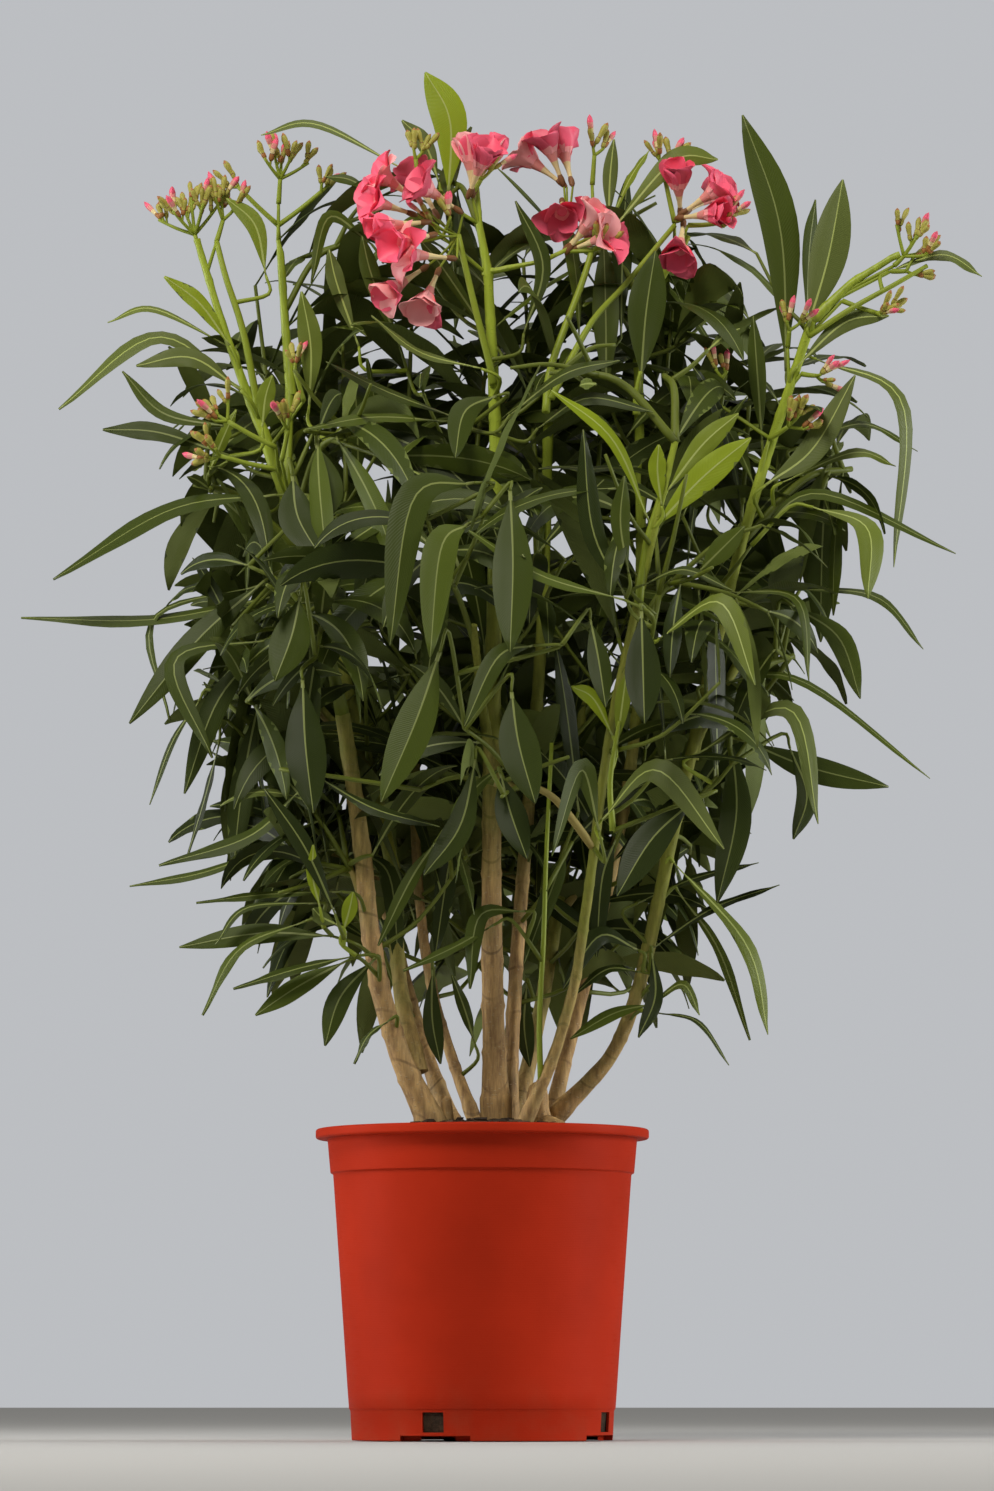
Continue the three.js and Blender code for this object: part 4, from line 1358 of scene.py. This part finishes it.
# Stretches of limb that the crown's own leaves leave open to view: lowest and highest point.
SHOWN_LIMBS = (
    ("shoot_far_left", 0.72, 1.0),
    ("shoot_left", 0.78, 1.0),
    ("shoot_centre_fork", 0.0, 1.0),
    ("shoot_centre_tip", 0.0, 1.0),
    ("shoot_right_tip", 0.0, 1.0),
    ("shoot_upper_right", 0.0, 1.0),
    ("stem_centre", 0.73, 1.0),
    ("stem_centre", 0.22, 0.47),
    ("stem_right", 0.60, 1.0),
    ("stem_right", 0.22, 0.46),
    ("stem_front_right", 0.30, 1.0),
    ("stem_left", 0.22, 0.42),
    ("stem_left", 0.46, 0.53),
    ("stem_left_fork", 0.22, 0.40),
)
LIMB_MARGIN = 9 * MM
FLOWER_MARGIN = 17 * MM
LEAF_MARGIN = 6 * MM
# Set leaves whose tips are higher, or farther from the middle, are left open to view (millimetres).
OPEN_ABOVE = 700
OPEN_BEYOND = 160


def shown_spots():
    """What is left open to view: (x, depth, z, margin) of limbs, flowers and sprays of buds."""
    spots = []
    for node, low, high in SHOWN_LIMBS:
        line = smooth_path(LIMBS[node][0], 40)
        spots += [(*seen_at(point), LIMB_MARGIN) for point in line if low < point.z < high]
    for knots, _, _ in SET_STALKS:
        spots += [(*seen_at(point), LIMB_MARGIN) for point in seen_path(knots, 16)]
    for foot, bend, tip, *_ in SET_LEAVES:
        if tip[2] > OPEN_ABOVE or abs(tip[0]) > OPEN_BEYOND:
            line = seen_path(leaf_knots(foot, bend, tip), 10)
            spots += [(*seen_at(point), LEAF_MARGIN) for point in line[4:]]
    for _, *flowers in FLOWER_ROWS.values():
        spots += [(*seen_at(lined_up(mouth)), FLOWER_MARGIN) for _, mouth, _ in flowers]
    for _, middle, spread, *_ in BUD_ROWS:
        spots.append((*seen_at(lined_up(middle)), spread * MM * 0.9))
    return spots


# Leafy shoots that close the top behind the flowers: foot and tip in millimetres.
TOP_SHOOTS = (
    ((-8, 40, 690), (4, 52, 800)),
    ((40, 50, 690), (30, 66, 868)),
    ((-150, 40, 700), (-168, 54, 846)),
    ((190, 30, 680), (200, 40, 812)),
    ((84, 50, 690), (92, 72, 838)),
    ((128, 40, 690), (140, 60, 828)),
    ((166, 20, 680), (178, 30, 776)),
    ((-56, 40, 700), (-52, 66, 846)),
    ((-100, 40, 690), (-104, 60, 826)),
    ((-140, 40, 680), (-160, 50, 776)),
    ((212, 10, 680), (222, 24, 752)),
)
TOP_SLACK = 24 * MM
TOP_BEND = Vector((0, 6 * MM, 0))


# Green stalks that show among the leaves: points in millimetres, then radius at foot and tip.
SET_STALKS = (
    (((8, -28, 762), (5, -34, 778), (-6, -40, 821), (-18, -44, 873)), 3.0, 2.4),
    (((-142, 10, 684), (-141, 20, 724), (-140, 27, 768)), 3.2, 3.4),
    (((42, -36, 250), (41, -46, 300), (44, -50, 359), (46, -52, 420), (50, -54, 500)), 2.2, 1.4),
    (((46, -60, 742), (50, -46, 776), (72, -30, 836), (80, -24, 862)), 3.0, 2.2),
    (((50, -62, 752), (78, -40, 806), (104, -20, 836), (140, -2, 880)), 2.6, 2.0),
    (((-162, -4, 738), (-174, -12, 800), (-187, -12, 841), (-194, -8, 868)), 2.8, 2.0),
    (((238, -42, 798), (268, -50, 818), (300, -52, 836), (324, -46, 850)), 2.2, 1.6),
    (((113, -108, 600), (118, -110, 642), (126, -112, 671), (134, -114, 698)), 3.2, 1.2),
    (((112, -58, 740), (112, -60, 756), (115, -62, 772)), 3.0, 1.4),
    (((94, -92, 436), (92, -96, 470), (96, -98, 500), (99, -99, 516)), 2.4, 1.2),
)


def make_leaves(leaf, stem):
    grower = Grower(leaf, np.random.default_rng(leaf.seed))
    finishes = leaf_finishes(leaf)
    for group in LEAF_GROUPS:
        leaves = Bin()
        nodes = nodes_called(group)
        for node in nodes:
            grow_mass(grower, node, leaves)
        finished(leaves.build(group + "crown", finishes), nodes)
    inner = Bin()
    for node, count in SIDE_SHOOTS.items():
        grow_side_shoots(grower, node, count, inner, INNER_FOOT, CAD_BOX[1][2], INNER_SLACK)
    for node, count in LOW_SHOOTS.items():
        grow_side_shoots(grower, node, count, inner, *LOW_STRETCH, LOW_SLACK)
    for foot, tip in TOP_SHOOTS:
        foot, tip = Vector(foot) * MM, Vector(tip) * MM
        line = smooth_path([foot, foot.lerp(tip, 0.5) + TOP_BEND, tip], 10)
        grower.join(foot, (tip - foot).normalized(), GREEN_TWIG)
        grower.add_twig(line, 1.9 * MM, 1.3 * MM, GREEN_TWIG)
        grower.leafy(inner, line, 0.3, 0.95, 0.4, slack=TOP_SLACK)
    made = inner.build("leaves_inner", finishes)
    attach(made, "root")
    outer = Bin()
    for knots, thick, thin in SET_STALKS:
        grower.add_twig(seen_path(knots, 14), thick * MM, thin * MM, FRESH_TWIG)
    for row in SET_LEAVES:
        set_leaf(grower, outer, row)
    for node, first, oldest, youngest in LEAFY_LIMBS:
        grower.leafy(outer, LIMBS[node][0], first, oldest, youngest, slack=0.012)
    nodes = nodes_called("leaves_right_")
    finished(outer.build("leaves_outer", finishes), nodes)
    twigs = grower.twigs.build("twigs", twig_finishes(stem))
    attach(twigs, "root")


# ---- blossom ---------------------------------------------------------------------------------

PETALS = 5
PETAL_ROWS = 9
PETAL_COLUMNS = 7
PETAL_THICK = 0.35 * MM
PETAL_WIDEST = 0.62
THROAT = 4.6 * MM
TUBE_RINGS = ((0.0, 0.30), (0.25, 0.33), (0.5, 0.40), (0.72, 0.60), (1.0, 1.0))
TUBE_FOOT = 7 * MM
TUBE_SIDES = 14
CREAM, BLUSH, PALE_ROSE_AND_HIGHLIGHT, PINK, CRIMSON_AND_SHADE, CALYX, STALK, BUD_GREEN, BUD_ORANGE = range(9)


def blossom_finishes(blossom, stem):
    pink = blossom.pink
    return [
        plain_finish("flower_cream", (0.74, 0.60, 0.30), 0.5),
        plain_finish("flower_blush", (0.74, 0.27, 0.24), 0.5),
        # The paler copy of the pink is the petals' real pale base and, on whole flowers, a painted highlight;
        # the darker copy is the ripe buds' crimson tip and, on whole flowers, painted shade.
        plain_finish("petal_rose_and_highlight", blended(pink, (0.97, 0.56, 0.52), 0.65), 0.48, 500.0),
        plain_finish("petal_pink", pink, 0.48, 500.0),
        plain_finish("petal_crimson_and_shade", tinted(pink, 0.78), 0.45, 500.0),
        plain_finish("calyx", (0.20, 0.085, 0.030), 0.55),
        plain_finish("flower_stalk", tinted(stem.shoot, 0.8), 0.55),
        plain_finish("bud_green", (0.37, 0.34, 0.06), 0.5),
        plain_finish("bud_orange", (0.36, 0.15, 0.040), 0.5),
    ]


def banded(finishes, sides, *ends):
    """Finishes for the faces of a tube: one for each band of it, then those of its two ends."""
    return [finish for finish in finishes for _ in range(sides)] + list(ends)


def flower_frame(foot, mouth, turn):
    """The flower's axis and two directions square to it."""
    way = (mouth - foot).normalized()
    first = Matrix.Rotation(turn, 3, way) @ square_to(way)
    return way, first, way.cross(first)


def petal_sheet(blossom, open_by, rng):
    """Points (out, along, across) of one petal's two faces: cupped, rounded and lopsided."""
    reach = blossom.petal * rng.uniform(0.9, 1.1)
    cup = rng.uniform(0.26, 0.42)
    curl = rng.uniform(-0.2, 0.35)
    ruffle = rng.uniform(0.3, 0.9) * MM
    phase = rng.uniform(0, 6.3)
    faces = []
    for lift in (0.5, -0.5):
        for row in range(PETAL_ROWS):
            share = row / (PETAL_ROWS - 1)
            angle = open_by * (0.35 + 0.65 * share) + curl * share**2
            out = THROAT * 0.9 + reach * share * math.sin(angle)
            along = reach * share * math.cos(angle)
            half = reach * (0.17 + 0.33 * math.sin(math.pi * min(1.0, share * PETAL_WIDEST + 0.05)))
            half *= math.sqrt(max(0.02, 1 - max(0.0, (share - PETAL_WIDEST) / 0.40) ** 2))
            for column in range(PETAL_COLUMNS):
                across = 2 * column / (PETAL_COLUMNS - 1) - 1
                thick = lift * PETAL_THICK * (1 - 0.8 * across**2)
                rise = -cup * half * across**2 * 1.6 + ruffle * share**2 * math.sin(3.2 * across + phase)
                skew = 0.16 * half * share
                faces.append((
                    out + (rise + thick) * math.cos(angle),
                    along - (rise + thick) * math.sin(angle),
                    half * across + skew,
                ))
    return faces


def petal_faces():
    """Upper and lower face of a petal and the rim between them."""
    count = PETAL_ROWS * PETAL_COLUMNS
    quads = []
    for row in range(PETAL_ROWS - 1):
        for column in range(PETAL_COLUMNS - 1):
            a = row * PETAL_COLUMNS + column
            b = a + PETAL_COLUMNS
            quads.append((a, a + 1, b + 1, b))
            quads.append((a + count, b + count, b + 1 + count, a + 1 + count))
    last = PETAL_COLUMNS - 1
    rim = list(range(PETAL_COLUMNS))
    rim += [row * PETAL_COLUMNS + last for row in range(1, PETAL_ROWS)]
    rim += [(PETAL_ROWS - 1) * PETAL_COLUMNS + column for column in range(last - 1, -1, -1)]
    rim += [row * PETAL_COLUMNS for row in range(PETAL_ROWS - 2, 0, -1)]
    for a, b in zip(rim, rim[1:] + rim[:1]):
        quads.append((b, a, a + count, b + count))
    return quads


PETAL_FACES = petal_faces()
PETAL_FACE_ROWS = [min(face) % (PETAL_ROWS * PETAL_COLUMNS) // PETAL_COLUMNS for face in PETAL_FACES]


def add_flower(petals, blossom, foot, mouth, open_by, rng):
    """One flower: calyx, pale tube that widens to the throat, and five pinwheel petals."""
    way, first, second = flower_frame(foot, mouth, rng.uniform(0, 6.3))
    long = (mouth - foot).length
    line = [foot + way * (long * share) for share, _ in TUBE_RINGS]
    radii = [THROAT * size for _, size in TUBE_RINGS]
    bands = [CREAM, CREAM, CREAM, BLUSH]
    petals.add(*tube(line, radii, TUBE_SIDES), banded(bands, TUBE_SIDES, CREAM, PINK))
    calyx = [foot - way * 2.5 * MM, foot, foot + way * 3.5 * MM, foot + way * 6.5 * MM]
    petals.add(*tube(calyx, [1.0 * MM, 2.2 * MM, 2.3 * MM, 1.7 * MM], 10), CALYX)
    # Whole flowers get the pale, the plain or the dark copy of the pink: painted highlight and painted shade.
    tone = int(rng.choice([PALE_ROSE_AND_HIGHLIGHT, PALE_ROSE_AND_HIGHLIGHT, PINK, PINK, CRIMSON_AND_SHADE]))
    for petal in range(PETALS):
        turn = Matrix.Rotation(FULL_TURN * petal / PETALS + rng.normal(0, 0.07), 3, way)
        out_way, across_way = turn @ first, turn @ second
        lean = open_by * rng.uniform(0.85, 1.15)
        sheet = [
            mouth + out_way * (out - 0.6 * MM) + way * (along - 1.2 * MM) + across_way * across
            for out, along, across in petal_sheet(blossom, lean, rng)
        ]
        shade = tone if rng.uniform() < 0.7 else PINK
        petals.add(sheet, PETAL_FACES, [shade if row > 1 else PALE_ROSE_AND_HIGHLIGHT for row in PETAL_FACE_ROWS])


BUD_SIDES = 10
BUD_RINGS = (
    (0.0, 0.55),
    (0.08, 0.8),
    (0.26, 0.82),
    (0.30, 0.66),
    (0.5, 0.86),
    (0.72, 1.0),
    (0.88, 0.72),
    (1.0, 0.12),
)


def add_bud(buds, foot, way, long, thick, rng, ripe):
    """A pointed, slightly twisted bud in its calyx. Ripe buds show more pink."""
    bend = square_to(way) * rng.normal(0, 0.05) * long
    line = [foot + way * long * share + bend * share**2 for share, _ in BUD_RINGS]
    radii = [thick * size for _, size in BUD_RINGS]

    def twisted(ring, angle):
        return 0.12 * thick * math.sin(5 * angle + ring * 0.9) * (ring > 3)

    calyx = BUD_ORANGE if rng.uniform() < 0.4 else BUD_GREEN
    petals = [CREAM, BLUSH, PINK, CRIMSON_AND_SHADE] if ripe else [BUD_GREEN, BUD_GREEN, BUD_GREEN, BUD_ORANGE]
    finishes = banded([calyx, calyx, CALYX, *petals], BUD_SIDES, calyx, petals[-1])
    buds.add(*tube(line, radii, BUD_SIDES, twisted), finishes)


# Flowers: foot and mouth of the tube as (x, y, z) in millimetres, and how far the petals open.
FLOWER_ROWS = {
    "flower_head_left": (
        (-18, -44, 872),
        ((-54, -46, 903), (-68, -52, 913), 0.75),
        ((-22, -54, 894), (-38, -62, 905), 1.0),
        ((-56, -50, 890), (-74, -60, 896), 0.85),
        ((-46, -62, 882), (-66, -72, 880), 0.35),
        ((-27, -60, 856), (-48, -72, 858), 0.95),
        ((-46, -40, 846), (-62, -50, 835), 0.6),
        ((-34, -52, 842), (-40, -62, 828), 0.55),
        ((-36, -30, 892), (-46, -24, 910), 0.7),
        ((-40, -66, 872), (-56, -80, 868), 0.6),
    ),
    "flower_head_centre": (
        (-8, -34, 903),
        ((-8, -36, 910), (-10, -40, 928), 0.28),
        ((-4, -32, 910), (4, -30, 929), 0.3),
        ((-8, -40, 908), (-2, -50, 924), 0.45),
    ),
    "flower_head_rear": (
        (62, 10, 878),
        ((56, 8, 918), (50, 4, 934), 0.75),
        ((54, 12, 914), (38, 14, 926), 0.8),
        ((58, 6, 896), (58, -6, 890), 0.6),
        ((64, 12, 916), (60, 22, 932), 0.6),
    ),
    "flower_head_fork": (
        (60, -20, 861),
        ((66, -24, 866), (76, -32, 880), 0.5),
        ((70, -24, 864), (86, -36, 870), 0.9),
        ((64, -14, 866), (74, -4, 876), 0.7),
    ),
    "flower_head_right": (
        (140, 0, 882),
        ((150, -6, 892), (166, -12, 903), 0.85),
        ((144, 0, 894), (143, -8, 908), 0.35),
        ((146, -2, 878), (144, -14, 864), 0.5),
        ((152, 8, 892), (164, 18, 900), 0.7),
        ((148, -10, 886), (164, -22, 888), 0.3),
    ),
}

# Sprays of buds: foot of the spray, its middle, half its width, how many buds, share of them ripe.
BUD_ROWS = (
    ((-205, -4, 856), (-216, -6, 894), 36, 28, 0.12),
    ((-194, -8, 868), (-186, -4, 896), 22, 14, 0.12),
    ((-149, 28, 896), (-147, 26, 930), 26, 18, 0.12),
    ((-149, 28, 880), (-182, 22, 912), 8, 4, 0.12),
    ((-149, 28, 880), (-114, 26, 908), 8, 5, 0.12),
    ((-46, -40, 908), (-50, -38, 936), 12, 6, 0.4),
    ((-30, -44, 872), (-40, -52, 878), 24, 12, 0.4),
    ((-8, -34, 903), (4, -36, 922), 16, 8, 0.4),
    ((80, 10, 910), (82, 8, 938), 10, 5, 0.4),
    ((60, -20, 861), (92, -30, 862), 18, 7, 0.4),
    ((140, 0, 882), (130, 0, 930), 14, 8, 0.4),
    ((150, -4, 880), (182, -12, 882), 18, 9, 0.4),
    ((300, -44, 850), (318, -46, 868), 25, 17, 0.4),
    ((298, -44, 846), (316, -46, 846), 12, 6, 0.4),
    ((262, -42, 824), (296, -50, 812), 16, 9, 0.4),
    ((-150, -60, 700), (-200, -70, 712), 16, 10, 0.12),
    ((-150, -60, 716), (-194, -66, 740), 16, 10, 0.12),
    ((-146, -80, 706), (-140, -90, 736), 12, 8, 0.12),
    ((-130, -60, 750), (-138, -70, 778), 10, 5, 0.12),
    ((208, -40, 722), (229, -56, 736), 15, 10, 0.4),
    ((232, -40, 770), (248, -50, 768), 10, 5, 0.4),
    ((222, -36, 790), (224, -46, 808), 10, 5, 0.4),
    ((168, -20, 750), (176, -30, 772), 9, 4, 0.4),
)
SPRAY_DROP = 24 * MM
BUDS_PER_ARM = 3.6
# Shortest and longest bud in millimetres.
RIPE_LENGTHS = (16, 21)
GREEN_LENGTHS = (11, 18)


def add_stalk(blossoms, start, end, thick, sag=0.0):
    middle = start.lerp(end, 0.5) - UP * (end - start).length * sag
    line = smooth_path([start, middle, end], 6)
    blossoms.add(*tube(line, np.linspace(thick, thick * 0.8, 7), 7), STALK)


def bud_spray(buds, foot, middle, spread, count, ripeness, rng):
    """A branching stalk whose ends carry small sprays of buds, of which some are ripe."""
    way = (middle - foot).normalized()
    knot = middle - way * spread * 0.6
    add_stalk(buds, foot, knot, 2.0 * MM, 0.02)
    arms = max(2, round(count / BUDS_PER_ARM))
    turn = rng.uniform(0, 6.3)
    side = square_to(way)
    made = 0
    for arm in range(arms):
        aim = Matrix.Rotation(turn + SPIRAL_TURN * arm, 3, way) @ side
        aim.y *= 0.6
        out = math.sqrt((arm + 0.3) / arms)
        end = knot + (way * (0.75 - 0.45 * out) + aim * out * 0.85) * spread
        end += UP * spread * 0.2 * out
        add_stalk(buds, knot, end, 1.4 * MM, 0.03)
        heading = (end - knot).normalized() * 0.7 + UP * 0.5 + way * 0.3
        heading.normalize()
        for bud in range(math.ceil((count - made) / (arms - arm))):
            lean = Matrix.Rotation(rng.uniform(0, 6.3), 3, heading) @ square_to(heading)
            bud_way = (heading + lean * rng.uniform(0.1, 0.75)).normalized()
            knob = knot.lerp(end, rng.uniform(0.55, 1.0))
            bud_foot = knob + bud_way * rng.uniform(1.5, 5.0) * MM
            add_stalk(buds, knob, bud_foot, 1.0 * MM)
            ripe = rng.uniform() < ripeness
            long = rng.uniform(*(RIPE_LENGTHS if ripe else GREEN_LENGTHS)) * MM
            add_bud(buds, bud_foot, bud_way, long, rng.uniform(1.8, 2.5) * MM, rng, ripe)
            made += 1


def make_blossom(blossom, stem):
    rng = np.random.default_rng(19)
    finishes = blossom_finishes(blossom, stem)
    flowers = Bin()
    for knot, *rows in FLOWER_ROWS.values():
        knot = lined_up(knot)
        for foot, mouth, open_by in rows:
            foot, mouth = lined_up(foot), lined_up(mouth)
            foot -= (mouth - foot).normalized() * TUBE_FOOT
            add_stalk(flowers, knot, foot - (mouth - foot).normalized() * 2.5 * MM, 1.0 * MM, 0.05)
            add_flower(flowers, blossom, foot, mouth, open_by, rng)
    finished(flowers.build("flowers", finishes, crease=math.radians(60)), FLOWER_HEADS)
    buds = Bin()
    paths = [point for centres, _ in LIMBS.values() for point in centres]
    for foot, middle, spread, count, ripeness in BUD_ROWS:
        foot = lined_up(foot)
        nearest = feeding_point(paths, foot, SPRAY_DROP, 1.0)
        if (nearest - foot).length > 3 * MM:
            add_stalk(buds, nearest, foot, 1.5 * MM)
        bud_spray(buds, foot, lined_up(middle), spread * MM, count, ripeness, rng)
    finished(buds.build("buds", finishes), BUD_HEADS)


# ---- stage -----------------------------------------------------------------------------------


FLOOR_REACH = 14.0
FLOOR_DROP = 0.5 * MM
MIDDLE_HEIGHT = 0.498
BACKDROP = ((0.56, 0.575, 0.60, 1), 0.9)
FILL = ((0.95, 0.97, 1.0, 1), 0.15)
WARM = (1.0, 0.96, 0.88)
WHITE = (1, 1, 1)
# Area lights: place, aim, size, power, colour, spread in degrees.
AREA_LIGHTS = {
    "key": ((-0.7, -1.9, CAD_BOX[1][2] + 1.5), (0, 0, 0.6), (1.0, 1.0), 56, WARM, 180),
    "left_strip": ((-2.6, 0.15, 0.75), (0, 0, 0.12), (0.8, 1.2), 13.4, WHITE, 100),
    "right_strip": ((2.6, 0.0, 0.75), (0, 0, 0.12), (0.8, 1.2), 15.4, WHITE, 100),
}
SKY_POWER = 0.9
SKY_WIDTH = 50
SKY_TILT = (-12, 8, 0)


def area_light(name, place, aim, size, power, shade, spread):
    data = bpy.data.lights.new(name, "AREA")
    data.spread = math.radians(spread)
    data.shape = "RECTANGLE"
    data.size, data.size_y = size
    data.energy = power
    data.color = shade
    lamp = bpy.data.objects.new(name, data)
    bpy.context.scene.collection.objects.link(lamp)
    lamp.location = place
    lamp.rotation_euler = (Vector(aim) - Vector(place)).to_track_quat("-Z", "Y").to_euler()


def make_camera(stage):
    scene = bpy.context.scene
    middle = Vector((MIDDLE_X, 0, MIDDLE_HEIGHT))
    data = bpy.data.cameras.new("camera")
    data.lens = stage.lens
    camera = bpy.data.objects.new("camera", data)
    scene.collection.objects.link(camera)
    camera.location = (middle.x, -stage.distance, stage.eye)
    camera.rotation_euler = (middle - camera.location).to_track_quat("-Z", "Y").to_euler()
    scene.camera = camera


def make_world():
    """A grey backdrop for the camera and a dimmer fill light for the plant."""
    world = bpy.data.worlds.new("studio")
    world.use_nodes = True
    tree = world.node_tree
    backdrop = tree.nodes["Background"]
    fill = tree.nodes.new("ShaderNodeBackground")
    for background, (shade, strength) in ((backdrop, BACKDROP), (fill, FILL)):
        background.inputs["Color"].default_value = shade
        background.inputs["Strength"].default_value = strength
    seen = tree.nodes.new("ShaderNodeLightPath")
    mixed = tree.nodes.new("ShaderNodeMixShader")
    tree.links.new(seen.outputs["Is Camera Ray"], mixed.inputs["Fac"])
    tree.links.new(fill.outputs[0], mixed.inputs[1])
    tree.links.new(backdrop.outputs[0], mixed.inputs[2])
    tree.links.new(mixed.outputs[0], tree.nodes["World Output"].inputs["Surface"])
    bpy.context.scene.world = world


def make_lights():
    for name, row in AREA_LIGHTS.items():
        area_light(name, *row)
    sun = bpy.data.lights.new("sky_box", "SUN")
    sun.energy = SKY_POWER
    sun.angle = math.radians(SKY_WIDTH)
    sun.color = WARM
    sky = bpy.data.objects.new("sky_box", sun)
    sky.rotation_euler = [math.radians(turn) for turn in SKY_TILT]
    bpy.context.scene.collection.objects.link(sky)


def make_stage(stage):
    make_camera(stage)
    floor = Bin()
    floor.add([(x * FLOOR_REACH, y * FLOOR_REACH, 0) for x, y, _ in BOX_CORNERS[:4]], [(0, 1, 2, 3)], 0)
    ground = floor.build("floor", [plain_finish("floor", stage.floor, 0.85, 40.0)])
    ground.location.z = -FLOOR_DROP
    make_world()
    make_lights()
    bpy.context.scene.view_settings.view_transform = "Standard"


# ---- operators, panel and registration -------------------------------------------------------


class OLEANDER_OT_pot(bpy.types.Operator):
    """Make the nursery pot"""

    bl_idname = "oleander.pot"
    bl_label = "Make the nursery pot"

    def execute(self, context):
        make_pot(context.scene.oleander_pot)
        return {"FINISHED"}


class OLEANDER_OT_compost(bpy.types.Operator):
    """Fill the pot with compost and bark chips"""

    bl_idname = "oleander.compost"
    bl_label = "Fill the pot with compost"

    def execute(self, context):
        make_compost(context.scene.oleander_pot)
        return {"FINISHED"}


class OLEANDER_OT_limbs(bpy.types.Operator):
    """Make the stems, boughs and green shoots"""

    bl_idname = "oleander.limbs"
    bl_label = "Make the stems and shoots"

    def execute(self, context):
        make_limbs(context.scene.oleander_stem)
        return {"FINISHED"}


class OLEANDER_OT_leaves(bpy.types.Operator):
    """Grow the twigs and leaves of the crown"""

    bl_idname = "oleander.leaves"
    bl_label = "Grow the leaves"

    def execute(self, context):
        make_leaves(context.scene.oleander_leaf, context.scene.oleander_stem)
        return {"FINISHED"}


class OLEANDER_OT_blossom(bpy.types.Operator):
    """Grow the flowers and buds"""

    bl_idname = "oleander.blossom"
    bl_label = "Grow the flowers and buds"

    def execute(self, context):
        make_blossom(context.scene.oleander_blossom, context.scene.oleander_stem)
        return {"FINISHED"}


class OLEANDER_OT_stage(bpy.types.Operator):
    """Set up the floor, the lights and the camera"""

    bl_idname = "oleander.stage"
    bl_label = "Set up the stage"

    def execute(self, context):
        make_stage(context.scene.oleander_stage)
        return {"FINISHED"}


OPERATORS = (
    OLEANDER_OT_stage,
    OLEANDER_OT_pot,
    OLEANDER_OT_compost,
    OLEANDER_OT_limbs,
    OLEANDER_OT_leaves,
    OLEANDER_OT_blossom,
)


class OLEANDER_PT_panel(bpy.types.Panel):
    """Lists the steps that build the plant"""

    bl_label = "Potted Oleander"
    bl_idname = "OLEANDER_PT_panel"
    bl_space_type = "VIEW_3D"
    bl_region_type = "UI"
    bl_category = "Oleander"

    def draw(self, context):
        for operator in OPERATORS:
            self.layout.operator(operator.bl_idname)


CLASSES = (*SETTINGS.values(), *OPERATORS, OLEANDER_PT_panel)


def register():
    for each in CLASSES:
        bpy.utils.register_class(each)
    for name, group in SETTINGS.items():
        setattr(bpy.types.Scene, name, PointerProperty(type=group))


def unregister():
    for name in SETTINGS:
        delattr(bpy.types.Scene, name)
    for each in reversed(CLASSES):
        bpy.utils.unregister_class(each)


def main():
    register()
    for operator in OPERATORS:
        group, step = operator.bl_idname.split(".")
        getattr(getattr(bpy.ops, group), step)()


if __name__ == "__main__":
    main()
